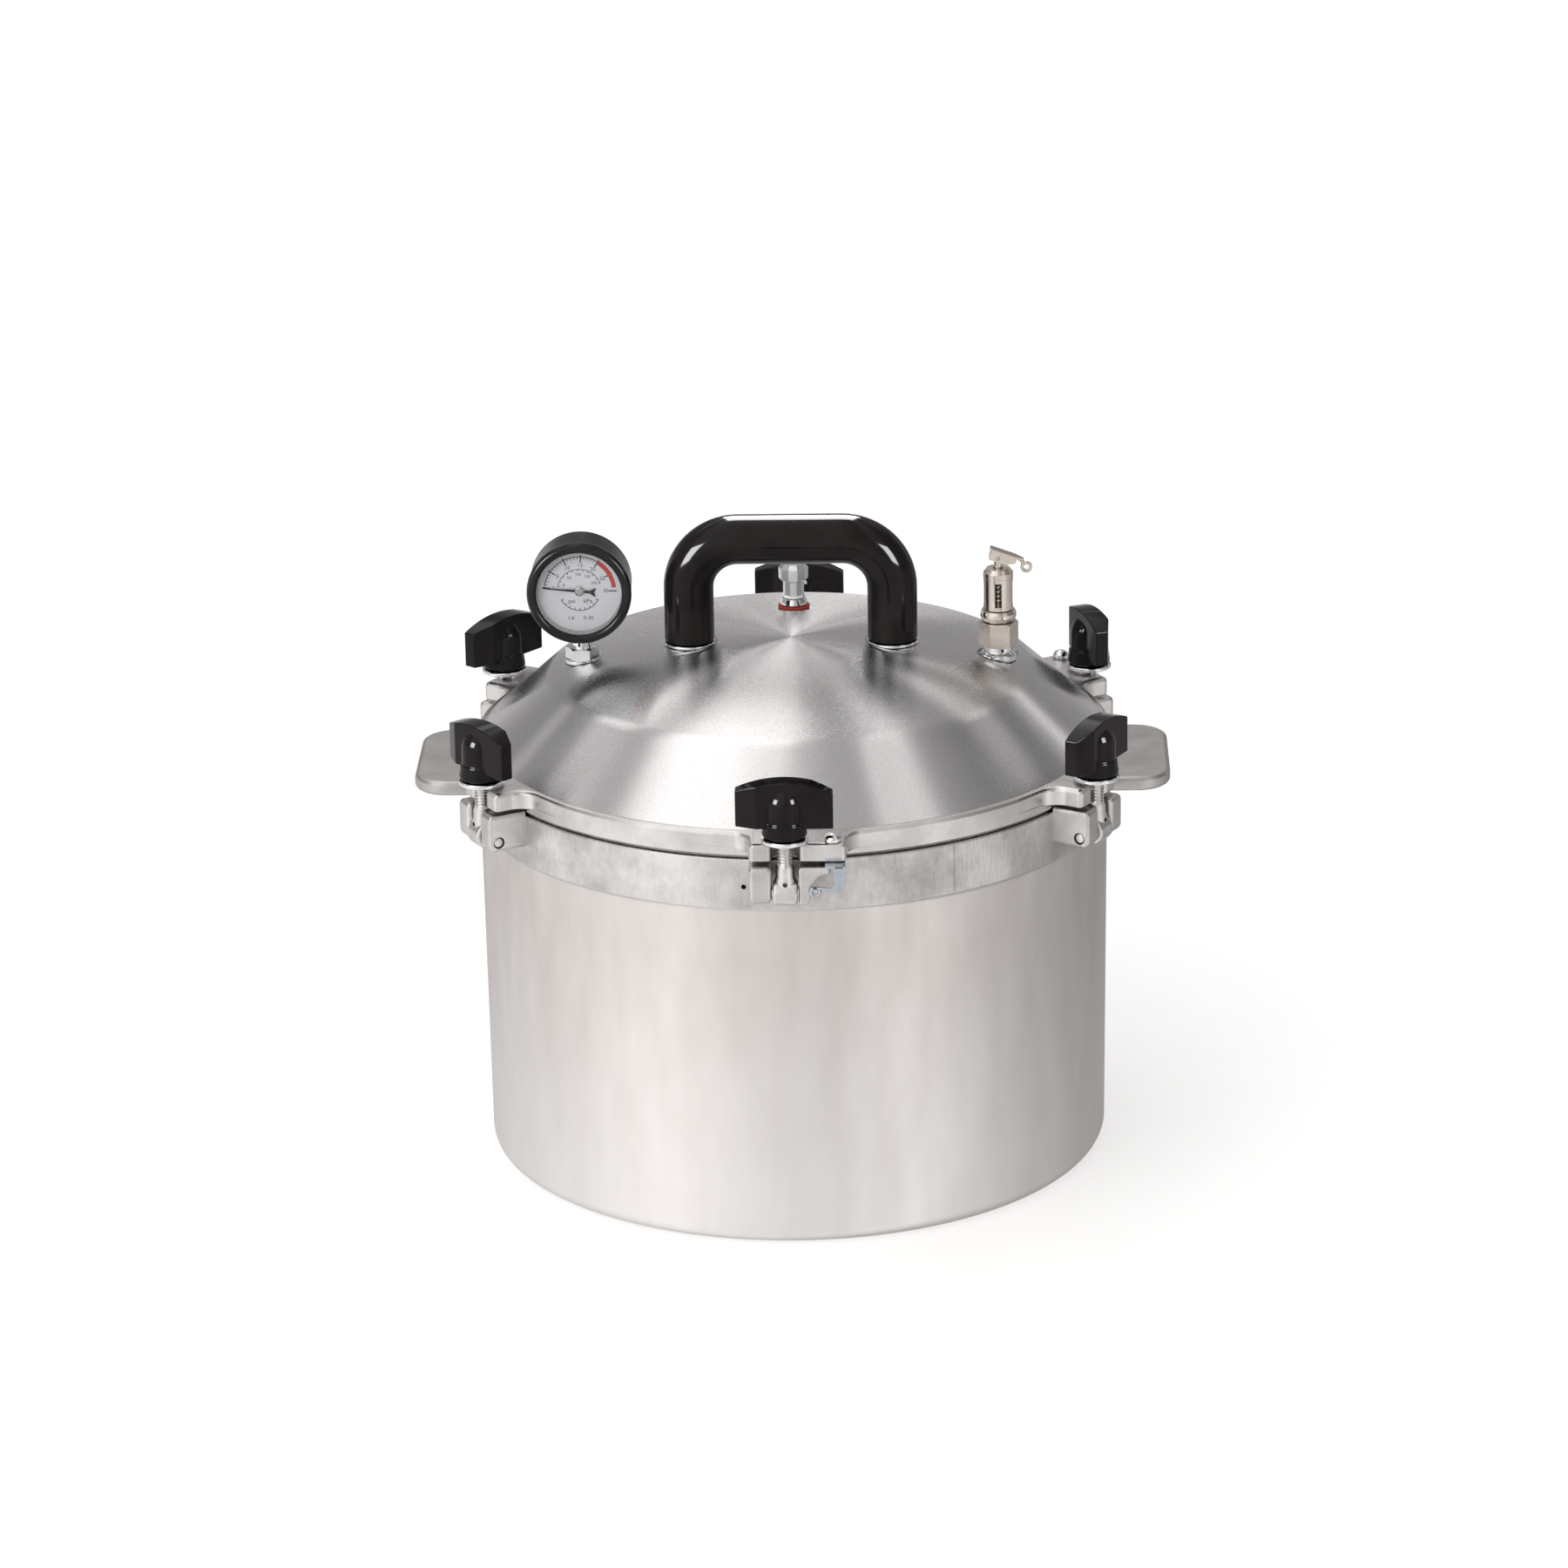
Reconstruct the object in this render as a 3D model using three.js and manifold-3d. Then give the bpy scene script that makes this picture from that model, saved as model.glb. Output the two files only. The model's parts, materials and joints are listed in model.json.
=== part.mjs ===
// Pressure canner: a cast pot and a domed lid held together by six swing bolts with wing nuts.
// Units are millimetres and +Z is up. The origin is the centre of the pot's base.
// The front is -Y. Each clamp is built in its own frame, with +X pointing radially outwards.
import * as THREE from "three";
import { mergeVertices } from "three/addons/utils/BufferGeometryUtils.js";
import Module from "manifold-3d";

const wasm = await Module();
wasm.setup();

// ---- Driving dimensions ----

const GAP = 0.3; // kept between pieces that meet
const ROUND = 48; // facets round the pot and the lid
const SMALL = 16; // facets round a fitting
const TINY = 10; // facets round a pin or a screw
const DIAL_FACETS = 32; // facets round the gauge

const POT = {
  baseRadius: 157,
  bodyRadius: 159,
  bandRadius: 160,
  bandBottom: 178,
  rim: 203,
  cornerRadius: 12,
  insideRadius: 155.6,
  insideBaseRadius: 152.6,
  floor: 6,
};
const SIDE_HANDLE = { tip: 189.5, halfWidth: 42, top: 202.5, thick: 7.5, corner: 20 };
const CLAMP = { count: 6, first: -90, radius: 174.5, pivotHeight: 192 };
const EAR = { gap: 13, width: 11, outer: 181, bottom: 186, top: 202, chamfer: 4 };
const PIN_RADIUS = 2.6;
const BOLT = { radius: 4.6, eyeRadius: 6.5, eyeWidth: 12, top: 239 };
const WASHER = { outer: 11.5, thick: 2.5, bottom: 218.2 };
const NUT = {
  collarRadius: 11,
  collarHeight: 7,
  hubRadius: 9.6,
  hubTop: 25.3,
  wingBottom: 5,
  halfSpan: 23.5,
  endHeight: 23,
  crownHeight: 28,
  thick: 11,
  bevel: 10,
  boreDepth: 21,
};
// Each wing nut stops at its own angle when it is tight.
const NUT_ANGLES = [0, 2, -9, 0, -9, 12];
const LUG = { halfWidth: 17.5, guideWidth: 29.5, bottom: 204.8, top: 217, end: 175.5, edge: 3.5 };
const LUG_SLOT = { halfWidth: 6.5, inner: 168 };
const GUIDE = {
  clamps: [0, 2],
  screwRadius: 171.5,
  offset: 23,
  headRadius: 4.15,
  sheet: 1.5,
  stripIn: 23.5,
  stripOut: 29,
  stripBottom: 188,
  curl: { offset: 14, height: 192.5, radius: 2.8 },
};

const LID = {
  apex: 264,
  thick: 5,
  domeRadius: 504,
  domeEdge: 117,
  shoulder: 124,
  shoulderHeight: 247.6,
  footRadius: 156.5,
  footHeight: 217,
  flangeTop: 212,
  flangeBottom: 203.4,
  spigotRadius: 154.6,
  spigotInside: 150,
  spigotBottom: 193,
};
const LID_HANDLE = { reach: 51, tube: 12.5, top: 328, corner: 25, foot: 263.2 };
// The gauge's depths are measured from its middle towards the reader.
const GAUGE = {
  x: -105.2,
  z: 291.9,
  ring: 26.3,
  window: 21.4,
  caseRadius: 25.6,
  wall: 1.6,
  back: 13,
  caseFront: 10,
  bezelFront: 16,
  dial: { radius: 22.6, bottom: 7, top: 8 },
  needle: 9.2,
  needleAngle: -5,
};
const BOURDON = { radius: 14.5, tube: 2, sweep: 280, depth: 2 };
const VALVE = {
  x: 104,
  thread: 4.7,
  bore: 1.6,
  hexFlats: 17.4,
  hexTop: 272,
  barrel: 7.5,
  barrelInside: 5.6,
  barrelTop: 295.5,
  stem: 2,
  pivot: 305,
  pin: 0.8,
  slope: 20,
};
const VALVE_SPRING = { radius: 3.7, wire: 0.5, turns: 5, bottom: 281.5, height: 12 };
const LEVER = { cheek: 2.7, sheet: 1.2, under: 2.6, eye: 15, eyeOuter: 3, eyeInner: 1.6, eyeHalf: 1.3 };
const PLUG = { y: 60, thread: 5.9, bore: 3.4, stem: 3 };
const RACK = { radius: 146, thick: 2, top: 21, hole: 7, rings: [[6, 40], [10, 84], [15, 124]] };

// ---- Helpers ----

const deg = THREE.MathUtils.degToRad;

function solid(geometry) {
  const bare = new THREE.BufferGeometry();
  bare.setAttribute("position", geometry.getAttribute("position").clone());
  if (geometry.index) bare.setIndex(geometry.index.clone());
  const merged = mergeVertices(bare, 1e-3);
  return new wasm.Manifold(
    new wasm.Mesh({
      numProp: 3,
      vertProperties: merged.attributes.position.array,
      triVerts: new Uint32Array(merged.index.array),
    }),
  );
}

function geometryOf(manifold) {
  const mesh = manifold.getMesh();
  const geometry = new THREE.BufferGeometry();
  geometry.setAttribute("position", new THREE.BufferAttribute(mesh.vertProperties, 3));
  geometry.setIndex(new THREE.BufferAttribute(mesh.triVerts, 1));
  return geometry;
}

// The union of the first list less everything in the second.
function carve(parts, cuts = []) {
  let result = solid(parts[0]);
  for (const part of parts.slice(1)) result = result.add(solid(part));
  for (const cut of cuts) result = result.subtract(solid(cut));
  return geometryOf(result);
}

function common(a, b) {
  return geometryOf(solid(a).intersect(solid(b)));
}

// A closed outline of [radius, height] pairs turned about Z, whichever way round it is listed.
function lathe(outline, facets = SMALL) {
  const points = outline.map(([r, z]) => new THREE.Vector2(r, z));
  if (!points[0].equals(points[points.length - 1])) points.push(points[0].clone());
  if (THREE.ShapeUtils.area(points) < 0) points.reverse();
  const onAxis = points.findIndex((p, i) => p.x === 0 && points[(i + 1) % points.length].x === 0);
  const open = onAxis < 0 ? points : points.slice(0, -1);
  const start = onAxis < 0 ? 0 : onAxis + 1;
  const ordered = open.slice(start).concat(open.slice(0, start));
  return new THREE.LatheGeometry(ordered, facets).rotateX(Math.PI / 2);
}

function arc(centreR, centreZ, radius, from, to, steps) {
  return Array.from({ length: steps + 1 }, (_, i) => {
    const angle = deg(from + ((to - from) * i) / steps);
    return [centreR + radius * Math.cos(angle), centreZ + radius * Math.sin(angle)];
  });
}

function rod(radius, bottom, top, facets = SMALL) {
  const height = top - bottom;
  return new THREE.CylinderGeometry(radius, radius, height, facets)
    .rotateX(Math.PI / 2)
    .translate(0, 0, bottom + height / 2);
}

function ring(outer, inner, bottom, top, facets = SMALL) {
  return lathe([[inner, bottom], [outer, bottom], [outer, top], [inner, top]], facets);
}

function hex(acrossFlats, bottom, top) {
  return rod(acrossFlats / Math.sqrt(3), bottom, top, 6);
}

function block(x0, x1, y0, y1, z0, z1) {
  return new THREE.BoxGeometry(x1 - x0, y1 - y0, z1 - z0).translate(
    (x0 + x1) / 2,
    (y0 + y1) / 2,
    (z0 + z1) / 2,
  );
}

// An outline in the XY plane, extruded up from one height to another.
function plate(outline, bottom, top) {
  const shape = new THREE.Shape(outline.map(([x, y]) => new THREE.Vector2(x, y)));
  const geometry = new THREE.ExtrudeGeometry(shape, {
    depth: top - bottom,
    bevelEnabled: false,
    curveSegments: 6,
  });
  return geometry.translate(0, 0, bottom);
}

// An outline of [x, z] pairs, extruded to both sides of the XZ plane.
function upright(outline, halfWidth) {
  return plate(outline, -halfWidth, halfWidth).rotateX(Math.PI / 2);
}

function alongPath(curve, radius, sides, steps) {
  const section = new THREE.Shape();
  section.absarc(0, 0, radius, 0, 2 * Math.PI);
  return new THREE.ExtrudeGeometry(section, {
    steps,
    extrudePath: curve,
    curveSegments: sides / 2, // an arc gets two points for each segment
    bevelEnabled: false,
  });
}

function finish(color, roughness, metalness) {
  return () => new THREE.MeshStandardMaterial({ color, roughness, metalness });
}

const cast = finish(0xcfcac5, 0.42, 1);
const brushed = finish(0xd6d6d8, 0.3, 1);
const chrome = finish(0xdedfe0, 0.12, 1);
const zinc = finish(0xb4bcc6, 0.35, 1);
const steel = finish(0xb9b3a8, 0.25, 1);
const bakelite = finish(0x0c0b0b, 0.15, 0);
const white = finish(0xe9edf2, 0.5, 0);
const glass = finish(0xf4f8fa, 0.05, 0);
const brass = finish(0xb08d4c, 0.35, 1);
const redRubber = finish(0xb03426, 0.6, 0);

const canner = new THREE.Group();

function add(name, geometry, material, parent = canner) {
  const mesh = new THREE.Mesh(geometry, material());
  mesh.name = name;
  parent.add(mesh);
  return mesh;
}

function clampAngle(i) {
  return deg(CLAMP.first + (360 / CLAMP.count) * i);
}

function clampFrame(i) {
  const group = new THREE.Group();
  group.rotation.z = clampAngle(i);
  canner.add(group);
  return group;
}

function perClamp(make) {
  return Array.from({ length: CLAMP.count }, (_, i) => make(i).rotateZ(clampAngle(i)));
}

// ---- Pot ----

function potShell() {
  const c = POT.cornerRadius;
  const inner = c - 2;
  return lathe(
    [
      [0, 0],
      ...arc(POT.baseRadius - c, c, c, -90, 0, 4),
      [POT.bodyRadius, POT.bandBottom],
      [POT.bandRadius, POT.bandBottom + 1],
      [POT.bandRadius, POT.rim],
      [POT.insideRadius, POT.rim],
      [POT.insideRadius, POT.bandBottom],
      ...arc(POT.insideBaseRadius - inner, POT.floor + inner, inner, 0, -90, 3),
      [0, POT.floor],
    ],
    ROUND,
  );
}

function sideHandlePlate() {
  const { tip, halfWidth: w, top, thick, corner: c } = SIDE_HANDLE;
  const root = POT.bandRadius - 3;
  const outline = [
    [root, -w],
    ...arc(tip - c, -w + c, c, -90, 0, 4),
    ...arc(tip - c, w - c, c, 0, 90, 4),
    [root, w],
  ];
  return plate(outline, top - thick, top);
}

function earBlock(side) {
  const inner = EAR.gap / 2;
  const outline = [
    [POT.bandRadius - 2, EAR.bottom],
    [EAR.outer - EAR.chamfer, EAR.bottom],
    [EAR.outer, EAR.bottom + EAR.chamfer],
    [EAR.outer, EAR.top - EAR.chamfer],
    [EAR.outer - EAR.chamfer, EAR.top],
    [POT.bandRadius - 2, EAR.top],
  ];
  return upright(outline, EAR.width / 2).translate(0, side * (inner + EAR.width / 2), 0);
}

function acrossClamp(radius, halfLength, facets) {
  return rod(radius, -halfLength, halfLength, facets)
    .rotateX(Math.PI / 2)
    .translate(CLAMP.radius, 0, CLAMP.pivotHeight);
}

function pot() {
  const reach = EAR.gap / 2 + EAR.width + 1;
  const handles = [sideHandlePlate(), sideHandlePlate().rotateZ(Math.PI)];
  const ears = [...perClamp(() => earBlock(1)), ...perClamp(() => earBlock(-1))];
  const holes = perClamp(() => acrossClamp(PIN_RADIUS + GAP, reach, TINY));
  return carve([potShell(), ...handles, ...ears], holes);
}

// ---- Clamps ----

function swingBolt() {
  const eye = acrossClamp(BOLT.eyeRadius, BOLT.eyeWidth / 2, SMALL);
  const shank = rod(BOLT.radius, CLAMP.pivotHeight + 2, BOLT.top, TINY).translate(CLAMP.radius, 0, 0);
  return carve([eye, shank], [acrossClamp(PIN_RADIUS + GAP, BOLT.eyeWidth, TINY)]);
}

function nutWasher() {
  const bore = BOLT.radius + 0.5;
  const top = WASHER.bottom + WASHER.thick;
  return ring(WASHER.outer, bore, WASHER.bottom, top).translate(CLAMP.radius, 0, 0);
}

// The wings seen from the front: square ends under a crowned top.
function wingFront() {
  const { halfSpan: w, wingBottom: low, endHeight: end, crownHeight: crown } = NUT;
  const rise = crown - end;
  const radius = (w * w + rise * rise) / (2 * rise);
  const half = (Math.asin(w / radius) * 180) / Math.PI;
  const top = arc(0, crown - radius, radius, 90 - half, 90 + half, 6);
  return upright([[-w, low + 1], [1 - w, low], [w - 1, low], [w, low + 1], ...top], NUT.thick);
}

// The wings seen from above: opposite corners are bevelled, so each wing suits a thumb.
function wingPlan() {
  const w = NUT.halfSpan;
  const t = NUT.thick / 2;
  const b = NUT.bevel;
  const outline = [[-w, -1], [b - w, -t], [w, -t], [w, 1], [w - b, t], [-w, t]];
  return plate(outline, 0, NUT.crownHeight + 1);
}

function wingNut() {
  const { collarRadius: r, collarHeight: h, hubRadius, hubTop, boreDepth } = NUT;
  const dome = arc(0, hubTop - hubRadius, hubRadius, 0, 90, 4);
  const hub = lathe([[0, 0], [r - 1, 0], [r, 1.5], [r - 1, h], [hubRadius, h + 1], ...dome], SMALL);
  const bore = rod(BOLT.radius + 0.4, -1, boreDepth - 2, TINY);
  return carve([hub, common(wingFront(), wingPlan())], [bore]);
}

function addClamp(i) {
  const frame = clampFrame(i);
  const number = i + 1;
  const nutBottom = WASHER.bottom + WASHER.thick + GAP;
  const pinHalfLength = EAR.gap / 2 + EAR.width;
  add("clamp_pin_" + number, acrossClamp(PIN_RADIUS, pinHalfLength, TINY), steel, frame);
  add("swing_bolt_" + number, swingBolt(), chrome, frame);
  add("nut_washer_" + number, nutWasher(), chrome, frame);
  const nut = add("wing_nut_" + number, wingNut(), bakelite, frame);
  nut.position.set(CLAMP.radius, 0, nutBottom);
  nut.rotation.z = deg(90 + NUT_ANGLES[i]);
}

// ---- Lid ----

function domeHeight(radius, apex = LID.apex) {
  return apex - (radius * radius) / (2 * LID.domeRadius);
}

function lidShell() {
  const inside = LID.apex - LID.thick;
  const outer = [LID.domeEdge, 90, 60, 30].map((r) => [r, domeHeight(r)]);
  const inner = [40, 80, LID.domeEdge - 4].map((r) => [r, domeHeight(r, inside)]);
  return lathe(
    [
      [0, inside],
      ...inner,
      [LID.shoulder - 4, LID.shoulderHeight - LID.thick],
      [LID.spigotInside, LID.footHeight - 2],
      [LID.spigotInside, LID.spigotBottom],
      [LID.spigotRadius - 1, LID.spigotBottom],
      [LID.spigotRadius, LID.spigotBottom + 2],
      [LID.spigotRadius, LID.flangeBottom],
      [POT.bandRadius, LID.flangeBottom],
      [POT.bandRadius, LID.flangeTop],
      [POT.bandRadius - 1, LID.footHeight - 2],
      [LID.footRadius, LID.footHeight],
      [LID.shoulder, LID.shoulderHeight],
      ...outer,
      [0, LID.apex],
    ],
    ROUND,
  );
}

// A lug in its clamp's frame, widening where it joins the flange.
function lug(i) {
  const root = LID.spigotRadius + 1;
  const waist = POT.bandRadius + 6;
  const flare = 10;
  const side = LUG.halfWidth;
  const guide = GUIDE.clamps.includes(i) ? LUG.guideWidth : side;
  const outline = [
    [root, -side - flare],
    [waist, -side],
    [LUG.end, -side],
    [LUG.end, guide],
    [waist, guide],
    [root, guide + flare],
  ];
  const edge = LUG.edge;
  const section = [
    [root - 1, LUG.bottom],
    [LUG.end, LUG.bottom],
    ...arc(LUG.end - edge, LUG.top - edge, edge, 0, 90, 3),
    [root - 1, LUG.top],
  ];
  const wide = 60;
  return common(plate(outline, LUG.bottom, LUG.top), upright(section, wide));
}

function lugSlot() {
  return block(LUG_SLOT.inner, LUG.end + 2, -LUG_SLOT.halfWidth, LUG_SLOT.halfWidth, 200, 230);
}

// A flat seat on the dome for a fitting, with a pad below it and a hole through both.
const SEATS = [
  { x: GAUGE.x, y: 0, height: 251.6, radius: 10, hole: 5.2 },
  { x: VALVE.x, y: 0, height: 251.6, radius: 10.5, hole: 5.2 },
  { x: 0, y: PLUG.y, height: 260, radius: 10, hole: 6.4 },
  { x: -LID_HANDLE.reach, y: 0, height: 261.2, radius: 14, hole: 2.9 },
  { x: LID_HANDLE.reach, y: 0, height: 261.2, radius: 14, hole: 2.9 },
];
const PAD_DEPTH = 7;

function seatPad({ x, y, height, radius }) {
  return rod(radius, height - PAD_DEPTH, height, SMALL).translate(x, y, 0);
}

function seatCut({ x, y, height, radius }) {
  return rod(radius, height, height + PAD_DEPTH, SMALL).translate(x, y, 0);
}

function seatHole({ x, y, height, hole }) {
  return rod(hole, height - 2 * PAD_DEPTH, height + 1, TINY).translate(x, y, 0);
}

function guideScrewHole(i) {
  return rod(2.6, LUG.bottom - 1, LUG.top + 1, TINY)
    .translate(GUIDE.screwRadius, GUIDE.offset, 0)
    .rotateZ(clampAngle(i));
}

function lid() {
  const pads = SEATS.map(seatPad);
  const cuts = [...SEATS.map(seatCut), ...SEATS.map(seatHole)];
  const screwHoles = GUIDE.clamps.map(guideScrewHole);
  return carve([lidShell(), ...pads, ...perClamp(lug)], [...cuts, ...perClamp(lugSlot), ...screwHoles]);
}

// ---- Lid handle ----

// The cubic whose handles are this share of the radius runs within 0.03% of a quarter circle.
const QUARTER = 0.5523;

function handleCorner(side, corner, reach, height) {
  const at = (x, z) => new THREE.Vector3(side * x, 0, z);
  const pull = corner * (1 - QUARTER);
  return [
    at(reach, height - corner),
    at(reach, height - pull),
    at(reach - pull, height),
    at(reach - corner, height),
  ];
}

function handleCurve() {
  const { reach, top, tube, corner, foot } = LID_HANDLE;
  const height = top - tube;
  const left = handleCorner(-1, corner, reach, height);
  const right = handleCorner(1, corner, reach, height).reverse();
  const path = new THREE.CurvePath();
  path.add(new THREE.LineCurve3(new THREE.Vector3(-reach, 0, foot), left[0]));
  path.add(new THREE.CubicBezierCurve3(...left));
  path.add(new THREE.LineCurve3(left[3], right[0]));
  path.add(new THREE.CubicBezierCurve3(...right));
  path.add(new THREE.LineCurve3(right[3], new THREE.Vector3(reach, 0, foot)));
  return path;
}

function lidHandle() {
  const { reach, tube, foot } = LID_HANDLE;
  const holes = [-reach, reach].map((x) => rod(2.8, foot - 1, foot + 15, TINY).translate(x, 0, 0));
  return carve([alongPath(handleCurve(), tube, 12, 30)], holes);
}

function handleScrew(x) {
  const headTop = SEATS[3].height - PAD_DEPTH - GAP;
  const outline = [
    [0, headTop - 3],
    [3.5, headTop - 3],
    [4.8, headTop - 1.5],
    [4.8, headTop],
    [2.4, headTop],
    [2.4, LID_HANDLE.foot + 13],
    [0, LID_HANDLE.foot + 13],
  ];
  return lathe(outline, TINY).translate(x, 0, 0);
}

function addLidHandle() {
  const seat = SEATS[3].height + GAP;
  add("lid_handle", lidHandle(), bakelite);
  for (const [side, x] of [["left", -LID_HANDLE.reach], ["right", LID_HANDLE.reach]]) {
    const washer = ring(LID_HANDLE.tube + 0.8, 3, seat, LID_HANDLE.foot - GAP, SMALL);
    add("handle_washer_" + side, washer.translate(x, 0, 0), chrome);
    add("handle_screw_" + side, handleScrew(x), steel);
  }
}

// ---- Guide clips ----

// A sheet tab under the lug, a strip that hangs down beside the ear, and a curled arm at its foot.
function guideClip() {
  const { screwRadius, offset, stripBottom: low, stripIn, stripOut, sheet, curl } = GUIDE;
  const top = LUG.bottom - GAP;
  const front = EAR.outer + 1;
  const tab = block(screwRadius - 6, front + sheet, offset - 4, stripOut, top - sheet, top);
  const strip = block(front, front + sheet, stripIn, stripOut, low, top);
  const arm = block(front, front + sheet, curl.offset, stripIn + 1, curl.height, curl.height + 2);
  const eye = rod(curl.radius, front, front + sheet, TINY)
    .rotateY(Math.PI / 2)
    .translate(0, curl.offset, curl.height);
  const holes = [
    rod(2.6, top - 3, top + 1, TINY).translate(screwRadius, offset, 0),
    rod(1.2, front - 1, front + sheet + 1, TINY)
      .rotateY(Math.PI / 2)
      .translate(0, curl.offset, curl.height),
  ];
  return carve([tab, strip, arm, eye], holes);
}

function guideScrew() {
  const seat = LUG.top + GAP;
  const r = GUIDE.headRadius;
  const head = arc(0, seat + 3.4 - 4.2, 4.2, 20, 90, 3);
  const outline = [[0, LUG.bottom - 6], [2.2, LUG.bottom - 6], [2.2, seat], [r, seat], ...head];
  return lathe(outline, TINY).translate(GUIDE.screwRadius, GUIDE.offset, 0);
}

function addGuides() {
  GUIDE.clamps.forEach((clamp, i) => {
    const where = ["front", "back"][i];
    const frame = clampFrame(clamp);
    add("guide_clip_" + where, guideClip(), zinc, frame);
    add("guide_screw_" + where, guideScrew(), chrome, frame);
  });
}

// ---- Pressure gauge ----

// Turned about the gauge's own axis, which runs front to back; heights become -Y.
function facing(geometry) {
  return geometry.rotateX(Math.PI / 2).translate(GAUGE.x, 0, GAUGE.z);
}

function threadedNut(outerFlats, bore, top, height) {
  return carve([hex(outerFlats, top - height, top)], [rod(bore, top - height - 1, top + 1, TINY)]);
}

function gaugeStem() {
  const seat = SEATS[0].height + GAP;
  const outline = [
    [0, 238],
    [4.7, 238],
    [4.7, seat],
    [8.5, seat],
    [8.5, seat + 2.5],
    [5, seat + 3],
    [5, 270],
    [0, 270],
  ];
  const collar = hex(14, seat + 2, seat + 8);
  return carve([lathe(outline), collar]).translate(GAUGE.x, 0, 0);
}

function gaugeCase() {
  const { caseRadius: r, back, wall, caseFront: front } = GAUGE;
  const outline = [
    [0, -back],
    [r - 2, -back],
    [r, 2 - back],
    [r, front],
    [r - wall, front],
    [r - wall, wall - back],
    [0, wall - back],
  ];
  const stemHole = rod(5.4, 255, 275, TINY).translate(GAUGE.x, 0, 0);
  return carve([facing(lathe(outline, DIAL_FACETS))], [stemHole]);
}

// A ring with a lip in front of the lens.
function gaugeBezel() {
  const { ring: r, window, caseFront, bezelFront: front } = GAUGE;
  const seat = window + 2.4;
  const outline = [
    [seat, caseFront + GAP],
    [r, caseFront + GAP],
    [r, front - 1.5],
    [r - 1.5, front],
    [window, front],
    [window, front - 2.5],
    [seat, front - 2.5],
  ];
  return facing(lathe(outline, DIAL_FACETS));
}

// A tapered needle with a swallow tail, on a hub and a shaft through the dial.
function gaugePointer() {
  const { needle: low, needleAngle } = GAUGE;
  const outline = [[-19, -0.4], [0, -1.1], [8, -2.2], [6.5, 0], [8, 2.2], [0, 1.1], [-19, 0.4]];
  const needle = plate(outline, low, low + 0.6).rotateZ(deg(needleAngle));
  const hub = rod(2.5, low - 0.4, low + 1, TINY);
  const shaft = rod(0.8, 4, low, 8);
  return facing(carve([needle, hub, shaft]));
}

class Hoop extends THREE.Curve {
  getPoint(t, target = new THREE.Vector3()) {
    const angle = deg(-90 - BOURDON.sweep * t);
    return target.set(BOURDON.radius * Math.cos(angle), BOURDON.radius * Math.sin(angle), 0);
  }
}

function addGauge() {
  add("gauge_stem", gaugeStem(), chrome);
  const nut = threadedNut(17, 5, SEATS[0].height - PAD_DEPTH - GAP, 5);
  add("gauge_nut", nut.translate(GAUGE.x, 0, 0), brass);
  add("gauge_case", gaugeCase(), bakelite);
  add("gauge_bezel", gaugeBezel(), bakelite);
  add("gauge_lens", facing(rod(GAUGE.window + 2.1, 12, 13.2, DIAL_FACETS)), glass);
  const { radius, bottom, top } = GAUGE.dial;
  add("gauge_dial", facing(ring(radius, 1.2, bottom, top, DIAL_FACETS)), white);
  add("gauge_pointer", gaugePointer(), bakelite);
  const tube = alongPath(new Hoop(), BOURDON.tube, 8, 18).translate(0, 0, -BOURDON.depth);
  add("gauge_bourdon_tube", facing(tube), brass);
}

// ---- Steam release valve ----

const VALVE_SEAT = SEATS[1].height + GAP;

function valveFitting() {
  const outline = [
    [0, 238],
    [VALVE.thread, 238],
    [VALVE.thread, VALVE_SEAT],
    [9.6, VALVE_SEAT],
    [9.6, 255],
    [7.5, 259],
    [0, 259],
  ];
  return carve([lathe(outline)], [rod(VALVE.bore, 230, 260, 8)]);
}

function valveBody() {
  const well = rod(3, 262, VALVE.hexTop + 2, TINY);
  return carve([hex(VALVE.hexFlats, 259.3, VALVE.hexTop)], [well, rod(VALVE.bore, 250, 264, 8)]);
}

function valveCollar() {
  const low = VALVE.hexTop + GAP;
  const outline = [[3, low], [8.2, low], [9, low + 0.9], [9, low + 4.9], [8.2, low + 5.7], [3, low + 5.7]];
  return lathe(outline);
}

// A tube with four tall windows, closed by a cap that guides the stem.
function valveBarrel() {
  const { barrel: r, barrelTop: top, stem } = VALVE;
  const tube = ring(r, VALVE.barrelInside, VALVE.hexTop + 6.3, top);
  const bore = stem + 0.4;
  const cap = lathe([[bore, top - 1], [r, top - 1], [r, top + 2.8], [r - 1.5, top + 4], [bore, top + 4]]);
  const windows = [0, 90].map((angle) => block(-9, 9, -2, 2, 280.5, 292.5).rotateZ(deg(angle)));
  return carve([tube, cap], windows);
}

// A rod with a collar under the spring. Its head has two flats and a hole for the lever's pin.
function valveStem() {
  const { pivot, stem: r } = VALVE;
  const neck = 302;
  const lower = lathe(
    [[0, 266], [2.4, 266], [2.4, 279], [4.6, 279], [4.6, 280.4], [r, 280.4], [r, neck], [0, neck]],
    TINY,
  );
  const head = lathe(
    [[0, neck - 0.5], [r, neck - 0.5], [r, pivot + 0.6], [1.2, pivot + 1.8], [0, pivot + 1.8]],
    TINY,
  );
  const flats = block(-3, 3, -1.6, 1.6, neck - 1, pivot + 3);
  return carve([lower, common(head, flats)], [acrossValve(VALVE.pin + GAP, 4).translate(0, 0, pivot)]);
}

class Coil extends THREE.Curve {
  getPoint(t, target = new THREE.Vector3()) {
    const { radius, turns, bottom, height } = VALVE_SPRING;
    const angle = 2 * Math.PI * turns * t;
    return target.set(radius * Math.cos(angle), radius * Math.sin(angle), bottom + height * t);
  }
}

function acrossValve(radius, halfLength, facets = 8) {
  return rod(radius, -halfLength, halfLength, facets).rotateX(Math.PI / 2);
}

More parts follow.
